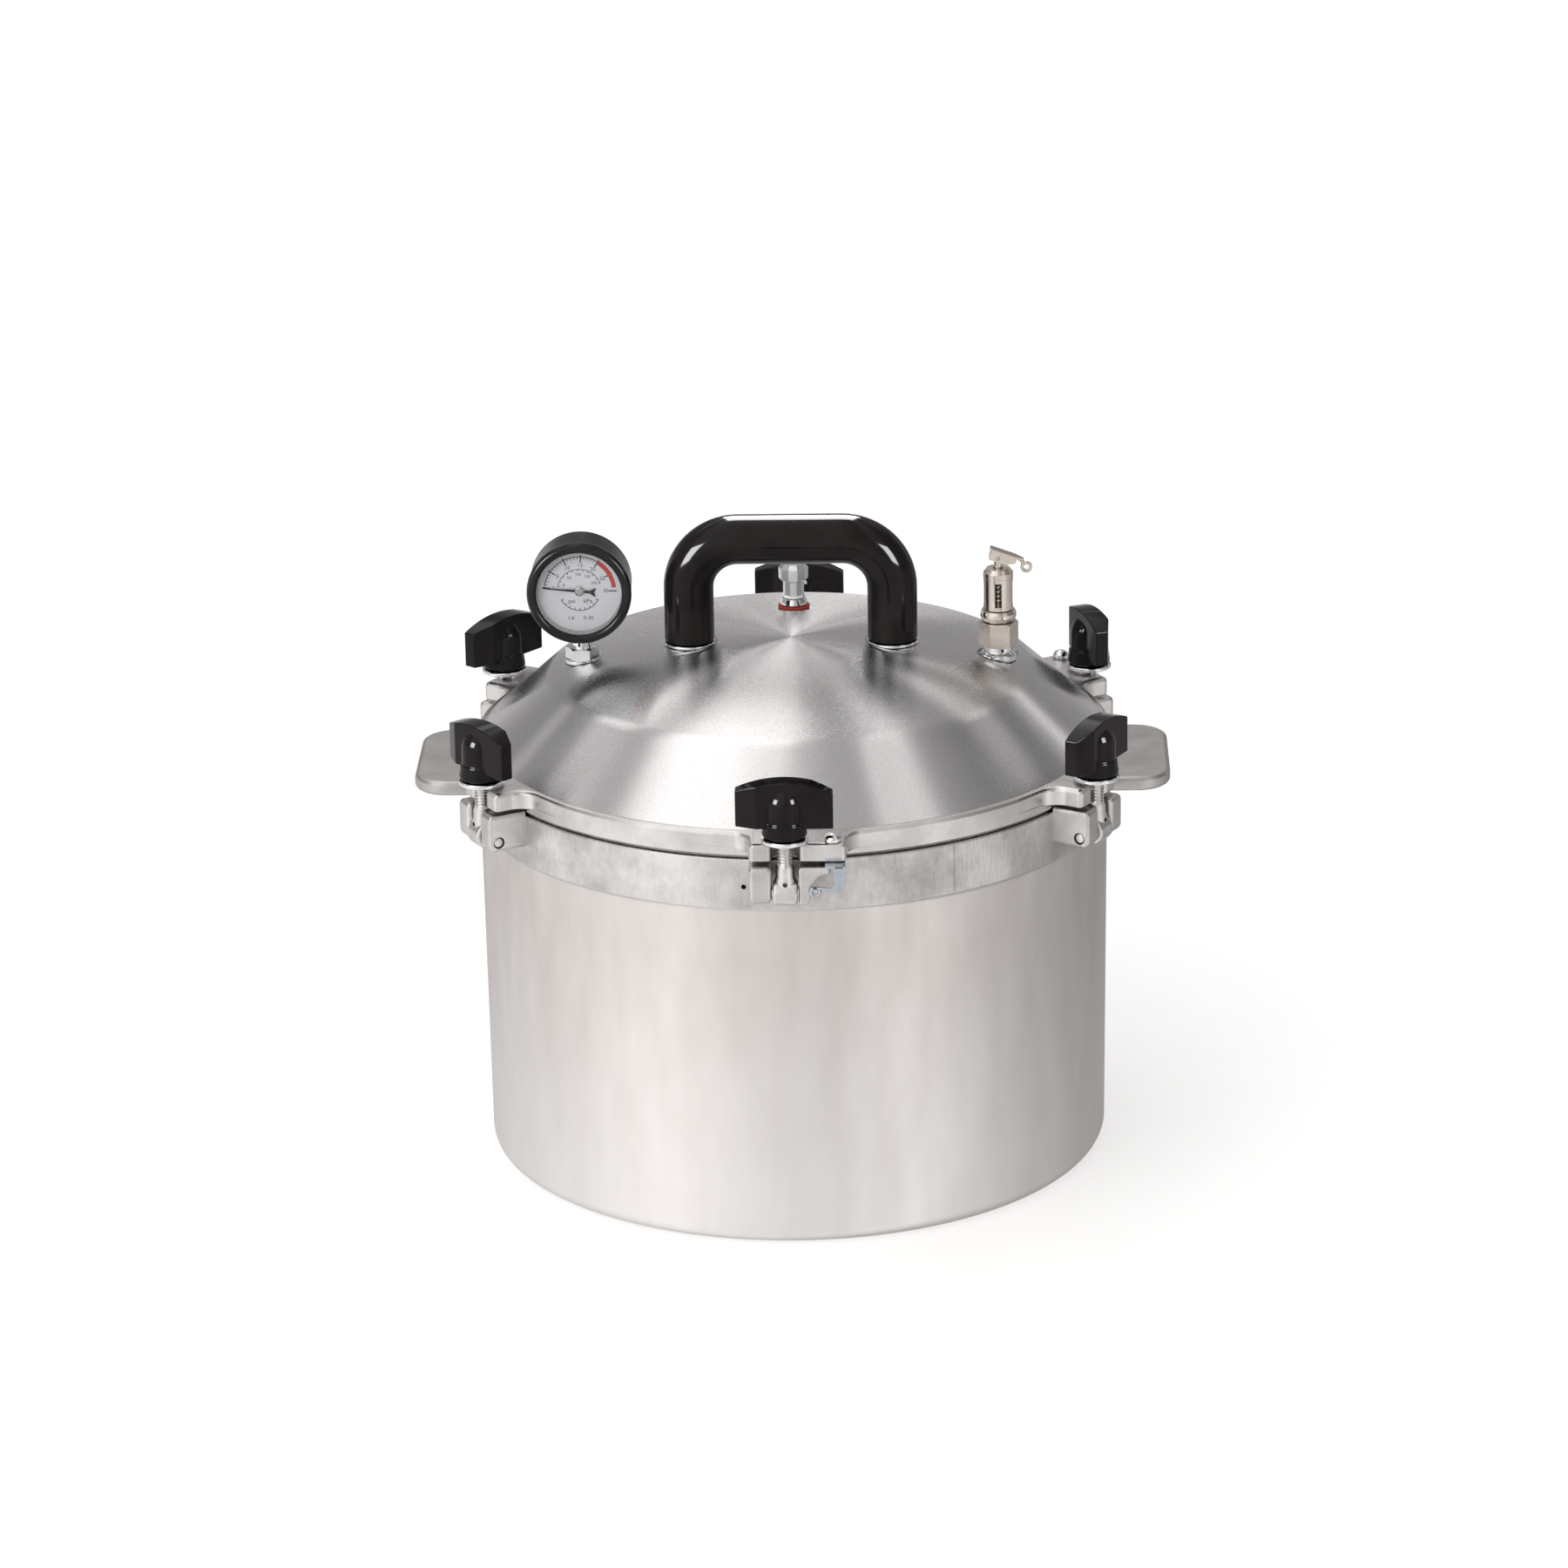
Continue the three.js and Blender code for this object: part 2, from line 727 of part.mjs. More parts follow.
// A plate over two cheeks that straddle the stem, ending in a ring for a finger or a hook.
function valveLever() {
  const { cheek, sheet, under, eye, eyeOuter, eyeInner, eyeHalf } = LEVER;
  const side = [[-4.5, -2], [5, -2], [9, -1], [9, under + 0.6], [-4.5, under + 0.6]];
  const cheeks = [-1, 1].map((s) => upright(side, sheet / 2).translate(0, s * cheek, 0));
  const reach = cheek + sheet / 2;
  const top = block(-5, 10, -reach, reach, under, under + sheet);
  const bend = [[7, under], [8, under + sheet], [10, under + sheet], [eye - 1, 1], [eye - 1, -1], [11, -1]];
  const loop = acrossValve(eyeOuter, eyeHalf, TINY).translate(eye, 0, 0);
  const holes = [acrossValve(eyeInner, 5, TINY).translate(eye, 0, 0), acrossValve(VALVE.pin + GAP, 5)];
  return carve([top, upright(bend, eyeHalf), ...cheeks, loop], holes)
    .rotateY(deg(VALVE.slope))
    .translate(0, 0, VALVE.pivot);
}

function addValve() {
  const group = new THREE.Group();
  group.position.x = VALVE.x;
  canner.add(group);
  const pin = acrossValve(VALVE.pin, 4).translate(0, 0, VALVE.pivot);
  add("valve_fitting", valveFitting(), chrome, group);
  add("valve_nut", threadedNut(17, 5, SEATS[1].height - PAD_DEPTH - GAP, 5), brass, group);
  add("valve_body", valveBody(), steel, group);
  add("valve_collar", valveCollar(), steel, group);
  add("valve_barrel", valveBarrel(), steel, group);
  add("valve_stem", valveStem(), steel, group);
  add("valve_spring", alongPath(new Coil(), VALVE_SPRING.wire, 6, 40), steel, group);
  add("valve_lever", valveLever(), steel, group);
  add("valve_lever_pin", pin, steel, group);
}

// ---- Safety plug ----

const PLUG_SEAT = SEATS[2].height + GAP;

function plugFitting() {
  const { thread, bore } = PLUG;
  const low = PLUG_SEAT + 2.3;
  const outline = [[bore, 248], [thread, 248], [thread, low], [9, low], [6, low + 3.5], [bore, low + 3.5]];
  return lathe(outline);
}

function plugCap() {
  const low = PLUG_SEAT + 6.2;
  const outline = [
    [0, 252],
    [PLUG.stem, 252],
    [PLUG.stem, low],
    [5.8, low],
    [5.4, low + 2],
    [5.4, low + 8],
    [7.2, low + 10],
    [7.2, low + 15.5],
    [5.5, low + 17.9],
    [0, low + 17.9],
  ];
  return lathe(outline, TINY);
}

function addPlug() {
  const group = new THREE.Group();
  group.position.y = PLUG.y;
  canner.add(group);
  const nutTop = SEATS[2].height - PAD_DEPTH - GAP;
  add("plug_gasket", ring(7.3, PLUG.thread + 0.4, PLUG_SEAT, PLUG_SEAT + 2), redRubber, group);
  add("plug_fitting", plugFitting(), chrome, group);
  add("plug_nut", threadedNut(18, PLUG.thread + 0.4, nutTop, 4), brass, group);
  add("plug_cap", plugCap(), chrome, group);
}

// ---- Jar rack ----

function rackHoles() {
  return RACK.rings.flatMap(([count, radius]) =>
    Array.from({ length: count }, (_, i) =>
      rod(RACK.hole, RACK.top - RACK.thick - 1, RACK.top + 1, 6)
        .translate(radius, 0, 0)
        .rotateZ((2 * Math.PI * i) / count),
    ),
  );
}

function jarRack() {
  const bottom = RACK.top - RACK.thick;
  const floor = POT.floor + GAP;
  const sheet = rod(RACK.radius, bottom, RACK.top, ROUND);
  const foot = ring(RACK.radius - 6, RACK.radius - 8, floor, bottom + 0.5, ROUND);
  return carve([sheet, foot], rackHoles());
}

// ---- Assembly ----

add("pot", pot(), cast);
add("lid", lid(), brushed);
for (let i = 0; i < CLAMP.count; i++) addClamp(i);
addGuides();
addLidHandle();
addGauge();
addValve();
addPlug();
add("jar_rack", jarRack(), brushed);

export default canner;
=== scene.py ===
"""Looks for the pressure canner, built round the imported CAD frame.

Shapes are drawn in millimetres in the frame of the part and scaled to metres in piece().
Each clamp is drawn in its own frame, with +X pointing away from the pot's axis.
Outlines are lists of (x, y, corner radius), or of (radius, height, corner radius) for turned parts.
"""

import json
import math

import bmesh
import bpy
from mathutils import Matrix, Vector

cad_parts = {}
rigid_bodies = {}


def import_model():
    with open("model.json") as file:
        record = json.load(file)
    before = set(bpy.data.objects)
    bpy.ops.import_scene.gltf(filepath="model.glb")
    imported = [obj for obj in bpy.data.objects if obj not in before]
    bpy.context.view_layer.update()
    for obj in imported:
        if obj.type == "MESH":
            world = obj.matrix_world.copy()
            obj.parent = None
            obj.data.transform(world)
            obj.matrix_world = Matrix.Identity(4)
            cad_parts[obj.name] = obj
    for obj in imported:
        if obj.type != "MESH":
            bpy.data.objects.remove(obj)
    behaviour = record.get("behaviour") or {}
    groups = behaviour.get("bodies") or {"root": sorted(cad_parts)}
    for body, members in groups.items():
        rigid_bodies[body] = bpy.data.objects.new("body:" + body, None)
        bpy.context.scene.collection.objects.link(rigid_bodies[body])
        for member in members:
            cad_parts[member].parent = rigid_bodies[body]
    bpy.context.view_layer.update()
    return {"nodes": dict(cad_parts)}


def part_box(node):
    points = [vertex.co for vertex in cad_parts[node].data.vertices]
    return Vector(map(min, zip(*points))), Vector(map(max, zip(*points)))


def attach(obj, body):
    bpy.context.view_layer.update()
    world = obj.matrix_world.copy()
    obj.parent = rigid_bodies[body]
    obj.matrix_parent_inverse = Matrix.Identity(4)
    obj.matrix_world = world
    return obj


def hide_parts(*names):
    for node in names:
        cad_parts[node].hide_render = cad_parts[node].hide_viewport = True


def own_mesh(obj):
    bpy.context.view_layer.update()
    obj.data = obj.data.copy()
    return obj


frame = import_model()

MM = 0.001
ROUND = 192  # facets round the pot and the lid
MEDIUM = 64  # facets round a fitting
SMALL = 32  # facets round a pin or a screw
CLAMPS = 6
GUIDED = (0, 2)  # the clamps beside a guide clip, at the front and at the back right
GAP = 0.3  # between neighbouring parts, as in the CAD


def centre(node):
    """The middle of a CAD node's box, in millimetres."""
    low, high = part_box(node)
    return (low + high) / 2 / MM


def top_of(node):
    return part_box(node)[1].z / MM


def bottom_of(node):
    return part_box(node)[0].z / MM


CLAMP_RADIUS = -centre("nut_washer_1").y
PIVOT_HEIGHT = centre("clamp_pin_1").z
GAUGE = centre("gauge_bezel")
VALVE_X = centre("valve_barrel").x
PLUG_Y = centre("plug_gasket").y
HANDLE_REACH = centre("handle_washer_right").x

# ---- Camera, floor and light ----

CAMERA = {
    "distance": 3226.064, "elevation": 19.383, "azimuth": 1.653, "roll": -0.976, "aside": -4.846,
    "height": 185.738, "lens": 146.363,
}


def make_camera():
    azimuth, elevation = (math.radians(CAMERA[k]) for k in ("azimuth", "elevation"))
    right = Vector((math.cos(azimuth), math.sin(azimuth), 0))
    flat = math.cos(elevation)
    back = Vector((math.sin(azimuth) * flat, -math.cos(azimuth) * flat, math.sin(elevation)))
    target = right * CAMERA["aside"] + Vector((0, 0, CAMERA["height"]))
    place = target + back * CAMERA["distance"]
    up = back.cross(right)
    turn = math.radians(CAMERA["roll"])
    across = right * math.cos(turn) + up * math.sin(turn)
    over = up * math.cos(turn) - right * math.sin(turn)
    data = bpy.data.cameras.new("camera")
    data.lens = CAMERA["lens"]
    data.sensor_width = 36
    data.clip_start, data.clip_end = 0.1, 50
    camera = bpy.data.objects.new("camera", data)
    bpy.context.scene.collection.objects.link(camera)
    axes = Matrix((across, over, back)).transposed().to_4x4()
    camera.matrix_world = Matrix.Translation(place * MM) @ axes
    bpy.context.scene.camera = camera


make_camera()

# ---- Outlines ----


def rounded(corners, closed=True, step=12):
    """A line through corners given as (x, y, radius), each rounded by its radius."""
    line = []
    count = len(corners)
    for i, (x, y, radius) in enumerate(corners):
        at = Vector((x, y))
        if radius == 0 or (not closed and i in (0, count - 1)):
            line.append((x, y))
            continue
        before = Vector(corners[i - 1][:2]) - at
        after = Vector(corners[(i + 1) % count][:2]) - at
        reach_limit = 0.49 * min(before.length, after.length)
        before.normalize()
        after.normalize()
        half = before.angle(after) / 2
        if half > math.radians(89.5):
            line.append((x, y))
            continue
        reach = radius / math.tan(half)
        if reach > reach_limit:
            reach = reach_limit
            radius = reach * math.tan(half)
        middle = at + (before + after).normalized() * (radius / math.sin(half))
        start = at + before * reach - middle
        end = at + after * reach - middle
        turn = start.angle_signed(end)
        steps = max(2, math.ceil(abs(math.degrees(turn)) / step))
        for k in range(steps + 1):
            angle = -turn * k / steps
            c, s = math.cos(angle), math.sin(angle)
            line.append(
                (middle.x + start.x * c - start.y * s, middle.y + start.x * s + start.y * c)
            )
    return line


def on_circle(middle, radius, angles):
    """Points on a circle at angles in degrees."""
    x, y = middle
    turns = [math.radians(a) for a in angles]
    return [(x + radius * math.cos(t), y + radius * math.sin(t)) for t in turns]


def spread(start, end, steps):
    """Numbers from start to end in equal steps, both included."""
    return [start + (end - start) * k / steps for k in range(steps + 1)]


def area(line):
    return 0.5 * sum(a[0] * b[1] - b[0] * a[1] for a, b in zip(line, line[1:] + line[:1]))


def shrunk(line, amount):
    """A counter-clockwise outline moved inwards by an amount."""
    inner = []
    count = len(line)
    for i, point in enumerate(line):
        a, b, c = Vector(line[i - 1]), Vector(point), Vector(line[(i + 1) % count])
        d, e = b - a, c - b
        if d.length < 1e-9 or e.length < 1e-9:
            d = e = c - a
        n = Vector((-d.y, d.x)).normalized()
        m = Vector((-e.y, e.x)).normalized()
        both = n + m
        if both.length < 1e-6:
            both = n
        both.normalize()
        inner.append(tuple(b + both * (amount / max(0.5, both.dot(n)))))
    return inner


# ---- Meshes ----


def build(points, faces):
    bm = bmesh.new()
    verts = [bm.verts.new(p) for p in points]
    for face in faces:
        bm.faces.new([verts[i] for i in face])
    return bm


def tidy(bm):
    bmesh.ops.remove_doubles(bm, verts=bm.verts, dist=1e-4)
    bmesh.ops.dissolve_degenerate(bm, edges=bm.edges, dist=1e-5)
    bmesh.ops.recalc_face_normals(bm, faces=bm.faces)
    return bm


def lathe(outline, sides=MEDIUM, at=(0, 0, 0)):
    """A line of (radius, height) turned about Z. It is closed unless both ends lie on the axis."""
    points, rings = [], []
    for radius, height in outline:
        if radius < 1e-6:
            rings.append([len(points)] * sides)
            points.append((at[0], at[1], at[2] + height))
            continue
        rings.append([len(points) + k for k in range(sides)])
        for k in range(sides):
            angle = 2 * math.pi * k / sides
            points.append(
                (at[0] + radius * math.cos(angle), at[1] + radius * math.sin(angle), at[2] + height)
            )
    pairs = list(zip(rings, rings[1:]))
    if not (outline[0][0] < 1e-6 and outline[-1][0] < 1e-6):
        pairs.append((rings[-1], rings[0]))
    faces = []
    for low, high in pairs:
        for k in range(sides):
            n = (k + 1) % sides
            face = [low[k], low[n], high[n], high[k]]
            kept = [v for i, v in enumerate(face) if v not in face[:i]]
            if len(kept) > 2:
                faces.append(kept)
    return tidy(build(points, faces))


def prism(outline, low, high, edge=0.0, hole=None, top_edge=None):
    """An outline in XY pulled up from low to high, with rounded edges.

    A hole is a radius about the axis, which the outline has to enclose.
    """
    if area(outline) < 0:
        outline = outline[::-1]
    top_edge = edge if top_edge is None else top_edge
    layers = []
    for size, level, up in ((edge, low, -1), (top_edge, high, 1)):
        steps = 0 if size == 0 else 4
        curve = []
        for k in range(steps + 1):
            angle = math.pi / 2 * k / steps if steps else 0
            inset = size * (1 - math.cos(angle))
            curve.append((inset, level - up * size * (1 - math.sin(angle))))
        layers += curve[::-1] if up < 0 else curve
    count = len(outline)
    points = []
    for inset, level in layers:
        line = shrunk(outline, inset) if inset > 1e-9 else outline
        points += [(x, y, level) for x, y in line]
    faces = []
    for layer in range(len(layers) - 1):
        a, b = layer * count, (layer + 1) * count
        for i in range(count):
            n = (i + 1) % count
            faces.append([a + i, a + n, b + n, b + i])
    last = (len(layers) - 1) * count
    if hole is None:
        faces.append(list(range(count))[::-1])
        faces.append([last + i for i in range(count)])
        return tidy(build(points, faces))
    inner = len(points)
    angles, previous = [], None
    for x, y in outline:
        angle = math.atan2(y, x)
        if previous is not None:
            while angle < previous - math.pi:
                angle += 2 * math.pi
            angle = max(angle, previous + 1e-5)
        angles.append(angle)
        previous = angle
    for level in (layers[0][1], layers[-1][1]):
        points += [(hole * math.cos(a), hole * math.sin(a), level) for a in angles]
    for i in range(count):
        n = (i + 1) % count
        faces.append([inner + i, inner + n, n, i])
        faces.append([last + i, last + n, inner + count + n, inner + count + i])
        faces.append([inner + n, inner + i, inner + count + i, inner + count + n])
    return tidy(build(points, faces))


def upright(outline, half, edge=0.0, at=0.0):
    """An outline of (x, z) pairs pulled to both sides of a plane across Y."""
    return moved(spun(prism(outline, -half, half, edge), 90, "X"), 0, at)


def sweep(path, radius, sides=SMALL, cap=0.0, closed=False):
    """A round bar along a line of points, with its ends rounded by cap."""
    path = [Vector(p) for p in path]
    count = len(path)
    tangents = []
    for i in range(count):
        a = path[i - 1] if i or closed else path[0]
        b = path[(i + 1) % count] if i < count - 1 or closed else path[-1]
        tangents.append((b - a).normalized())
    side = tangents[0].orthogonal().normalized()
    rings = []
    for i, tangent in enumerate(tangents):
        side = (side - tangent * side.dot(tangent)).normalized()
        rings.append((path[i], tangent, side.copy(), radius))
    if cap:
        first, last = rings[0], rings[-1]
        start, end = [], []
        for k in range(1, 5):
            angle = math.pi / 2 * k / 4
            pull = radius - cap * (1 - math.cos(angle))
            shift = cap * math.sin(angle)
            start.append((first[0] - first[1] * (shift - cap), first[1], first[2], pull))
            end.append((last[0] + last[1] * (shift - cap), last[1], last[2], pull))
        rings[0] = (first[0] + first[1] * cap, first[1], first[2], radius)
        rings[-1] = (last[0] - last[1] * cap, last[1], last[2], radius)
        rings = start[::-1] + rings + end
    points, faces = [], []
    for place, tangent, side, size in rings:
        other = tangent.cross(side)
        for k in range(sides):
            angle = 2 * math.pi * k / sides
            points.append(tuple(place + (side * math.cos(angle) + other * math.sin(angle)) * size))
    total = len(rings)
    for i in range(total if closed else total - 1):
        a, b = i * sides, ((i + 1) % total) * sides
        for k in range(sides):
            n = (k + 1) % sides
            faces.append([a + k, a + n, b + n, b + k])
    if not closed:
        faces.append([k for k in range(sides)][::-1])
        faces.append([(total - 1) * sides + k for k in range(sides)])
    return tidy(build(points, faces))


def arc_path(x, z, radius, start, end, steps):
    """An arc in the plane across Y."""
    return [(u, 0, v) for u, v in on_circle((x, z), radius, spread(start, end, steps))]


def moved(bm, x=0, y=0, z=0):
    bm.transform(Matrix.Translation((x, y, z)))
    return bm


def spun(bm, degrees, axis="Z"):
    bm.transform(Matrix.Rotation(math.radians(degrees), 4, axis))
    return bm


def clamp_angle(i):
    return -90 + 360 / CLAMPS * i


def in_clamp(bm, i):
    return spun(bm, clamp_angle(i))


def ring(outline, sides=MEDIUM, at=(0, 0, 0)):
    """A closed outline turned about Z."""
    return lathe(rounded(outline), sides, at)


def spindle(outline, sides=MEDIUM, at=(0, 0, 0)):
    """An outline whose ends lie on the axis, turned about Z."""
    return lathe(rounded(outline, False), sides, at)


def rod(radius, low, high, sides=SMALL, edge=0.0):
    return spindle([(0, low, 0), (radius, low, edge), (radius, high, edge), (0, high, 0)], sides)


def lying_rod(radius, half, sides, edge=0.0):
    """A rod along Y, with its middle at the origin."""
    return spun(rod(radius, -half, half, sides, edge), 90, "X")


def along_radius(outline, low, high, edge=0.0, top_edge=None):
    """An outline of (sideways, height) pulled outwards from one radius to another."""
    bm = prism([(-x, z) for x, z in outline], low, high, edge, None, top_edge)
    bm.transform(Matrix(((0, 0, 1, 0), (-1, 0, 0, 0), (0, 1, 0, 0), (0, 0, 0, 1))))
    return bm


def hex_bar(across, low, high, chamfer=0.8):
    """A six-sided bar whose corners are turned off at both ends."""
    corner = across / math.sqrt(3)
    bm = prism(on_circle((0, 0), corner, range(0, 360, 60)), low, high)
    face = across / 2 - chamfer * 0.2
    wide = corner + 0.2
    cone = [
        (0, low), (face, low), (wide, low + chamfer), (wide, high - chamfer), (face, high),
        (0, high),
    ]
    return combine([bm], keep=[lathe(cone)])


def raw_object(bm, name="scratch"):
    mesh = bpy.data.meshes.new(name)
    bm.to_mesh(mesh)
    bm.free()
    made = bpy.data.objects.new(name, mesh)
    bpy.context.scene.collection.objects.link(made)
    return made


def combine(parts, cuts=(), keep=()):
    """The union of parts, less the cuts, and kept only inside keep."""
    base = raw_object(parts[0])
    others = [(raw_object(p), "UNION") for p in parts[1:]]
    others += [(raw_object(c), "DIFFERENCE") for c in cuts]
    others += [(raw_object(k), "INTERSECT") for k in keep]
    for other, operation in others:
        modifier = base.modifiers.new("shape", "BOOLEAN")
        modifier.operation = operation
        modifier.solver = "EXACT"
        modifier.object = other
    bpy.context.view_layer.update()
    result = bpy.data.meshes.new_from_object(
        base.evaluated_get(bpy.context.evaluated_depsgraph_get())
    )
    bm = bmesh.new()
    bm.from_mesh(result)
    for extra in [base] + [o for o, _ in others]:
        bpy.data.objects.remove(extra)
    bpy.data.meshes.remove(result)
    return bm


def merged(parts):
    """Several meshes in one, without joining their surfaces."""
    whole = bmesh.new()
    for part in parts:
        mesh = bpy.data.meshes.new("scratch")
        part.to_mesh(mesh)
        part.free()
        whole.from_mesh(mesh)
        bpy.data.meshes.remove(mesh)
    return whole


def piece(name, bm, material, body, slot, nodes=(), smooth=35):
    """A finished piece from a mesh in millimetres."""
    bm.transform(Matrix.Scale(MM, 4))
    mesh = bpy.data.meshes.new(name)
    bm.to_mesh(mesh)
    bm.free()
    mesh.shade_smooth()
    mesh.set_sharp_from_angle(angle=math.radians(smooth))
    mesh.materials.append(material)
    made = bpy.data.objects.new(name, mesh)
    bpy.context.scene.collection.objects.link(made)
    weigh = made.modifiers.new("normals", "WEIGHTED_NORMAL")
    weigh.keep_sharp = True
    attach(made, body)
    if nodes:
        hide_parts(*nodes)
    return made


# ---- Materials ----


class Nodes:
    """A short way to write a node tree."""

    def __init__(self, tree):
        self.tree = tree

    def add(self, kind, **settings):
        node = self.tree.nodes.new("ShaderNode" + kind)
        for key, value in settings.items():
            setattr(node, key, value)
        return node

    def link(self, source, target):
        self.tree.links.new(source, target)

    def math(self, operation, a, b=None):
        node = self.add("Math", operation=operation)
        for socket, value in zip(node.inputs, (a, b)):
            if value is None:
                continue
            if isinstance(value, (int, float)):
                socket.default_value = value
            else:
                self.link(value, socket)
        return node.outputs[0]


class Surface(Nodes):
    """A material's node tree."""

    def __init__(self, name):
        self.material = bpy.data.materials.new(name)
        self.material.use_nodes = True
        super().__init__(self.material.node_tree)
        self.shader = self.tree.nodes["Principled BSDF"]

    def set(self, **values):
        for key, value in values.items():
            self.shader.inputs[key.replace("_", " ")].default_value = value

    def place(self):
        return self.add("TexCoord").outputs["Object"]

    def polar(self, around=1.0, out=1.0, up=1.0):
        """Coordinates round Z, away from it and along it, for marks that follow a turning."""
        split = self.add("SeparateXYZ")
        self.link(self.place(), split.inputs[0])
        x, y, z = split.outputs
        angle = self.math("ARCTAN2", y, x)
        square = self.math("ADD", self.math("MULTIPLY", x, x), self.math("MULTIPLY", y, y))
        radius = self.math("SQRT", square)
        join = self.add("CombineXYZ")
        self.link(self.math("MULTIPLY", self.math("SINE", angle), around), join.inputs[0])
        self.link(self.math("MULTIPLY", self.math("COSINE", angle), around), join.inputs[1])
        both = self.math(
            "SUBTRACT", self.math("MULTIPLY", radius, out), self.math("MULTIPLY", z, up)
        )
        self.link(both, join.inputs[2])
        return join.outputs[0]

    def noise(self, vector, scale, detail=3, roughness=0.5):
        node = self.add("TexNoise")
        node.inputs["Scale"].default_value = scale
        node.inputs["Detail"].default_value = detail
        node.inputs["Roughness"].default_value = roughness
        self.link(vector, node.inputs["Vector"])
        return node.outputs["Fac"]

    def range(self, value, low, high, start=0.3, end=0.7):
        node = self.add("MapRange")
        for key, number in (
            ("From Min", start), ("From Max", end), ("To Min", low), ("To Max", high)
        ):
            node.inputs[key].default_value = number
        self.link(value, node.inputs["Value"])
        return node.outputs[0]

    def mix(self, factor, a, b, blend="MIX"):
        node = self.add("Mix", data_type="RGBA", blend_type=blend)
        for socket, value in ((node.inputs[0], factor), (node.inputs[6], a), (node.inputs[7], b)):
            if isinstance(value, (int, float)):
                socket.default_value = value
            elif isinstance(value, tuple):
                socket.default_value = (*value, 1)
            else:
                self.link(value, socket)
        return node.outputs[2]

    def colour(self, output):
        self.link(output, self.shader.inputs["Base Color"])

    def roughness(self, output):
        self.link(output, self.shader.inputs["Roughness"])

    def bump(self, height, strength, distance=0.0002, below=None):
        node = self.add("Bump")
        node.inputs["Strength"].default_value = strength
        node.inputs["Distance"].default_value = distance
        self.link(height, node.inputs["Height"])
        if below is not None:
            self.link(below, node.inputs["Normal"])
        self.link(node.outputs[0], self.shader.inputs["Normal"])
        return node.outputs[0]

    def turned_grain(self, amount, rotation=0.25):
        """Highlights drawn out across the marks of a lathe."""
        tangent = self.add("Tangent", direction_type="RADIAL", axis="Z")
        self.link(tangent.outputs[0], self.shader.inputs["Tangent"])
        self.set(Anisotropic=amount, Anisotropic_Rotation=rotation)


def turned_aluminium(name, tint, rough, grain, anisotropy):
    n = Surface(name)
    n.set(Metallic=1.0)
    fine = n.noise(n.polar(0.35, 9.0, 9.0), 260, 4, 0.7)
    broad = n.noise(n.polar(0.5, 1.0, 1.0), 24, 3)
    cloud = n.noise(n.place(), 9, 3)
    speck = n.noise(n.place(), 1300, 2, 0.6)
    low = tuple(c * 0.9 for c in tint)
    plain = n.mix(n.range(cloud, 0.0, 0.6), n.mix(n.range(broad, 0, 0.5), tint, low), low)
    n.colour(n.mix(n.range(speck, 0.0, 0.35, 0.5, 0.7), plain, tuple(c * 0.6 for c in tint)))
    streak = n.range(fine, rough - 0.07, rough + 0.09, 0.35, 0.65)
    n.roughness(n.math("ADD", streak, n.range(cloud, -0.02, 0.03)))
    n.bump(fine, grain, 0.0001)
    n.turned_grain(anisotropy)
    return n.material


def cast_aluminium(name, tint, rough, pits):
    n = Surface(name)
    n.set(Metallic=1.0)
    place = n.place()
    blotch = n.noise(place, 38, 5, 0.62)
    fine = n.noise(place, 620, 3, 0.6)
    scratch = n.noise(n.polar(2.0, 6.0, 14.0), 45, 4, 0.7)
    dark = tuple(c * 0.72 for c in tint)
    n.colour(n.mix(n.range(blotch, 0, 1), tint, dark))
    n.roughness(
        n.math("ADD", n.range(blotch, rough - 0.05, rough + 0.1), n.range(scratch, -0.05, 0.05))
    )
    n.bump(fine, pits, 0.0003, n.bump(blotch, pits * 0.6, 0.0006))
    return n.material


def plated(name, tint, rough, wear=0.06, scale=90):
    n = Surface(name)
    n.set(Metallic=1.0)
    place = n.place()
    blotch = n.noise(place, scale, 4)
    fine = n.noise(place, scale * 9, 2)
    n.colour(n.mix(n.range(blotch, 0, 0.8), tint, tuple(c * 0.82 for c in tint)))
    n.roughness(
        n.math("ADD", n.range(blotch, rough - wear / 2, rough + wear), n.range(fine, 0, wear / 2))
    )
    n.bump(fine, 0.06, 0.00005)
    return n.material


def moulded_black(name, rough, tint=(0.002, 0.0016, 0.0016)):
    n = Surface(name)
    n.set(Specular_IOR_Level=0.13)
    place = n.place()
    swirl = n.noise(place, 55, 4, 0.6)
    fine = n.noise(place, 900, 2)
    n.colour(n.mix(n.range(swirl, 0, 1), tint, tuple(2.2 * c for c in tint)))
    n.roughness(n.math("ADD", n.range(swirl, rough, rough + 0.07), n.range(fine, 0, 0.02)))
    n.bump(swirl, 0.03, 0.0001)
    return n.material


def plain_paint(name, tint, other, rough, scale=200):
    n = Surface(name)
    grain = n.noise(n.place(), scale, 3)
    n.colour(n.mix(n.range(grain, 0, 1), tint, other))
    n.roughness(n.range(grain, rough - 0.05, rough + 0.08))
    n.bump(grain, 0.05, 0.00005)
    return n.material


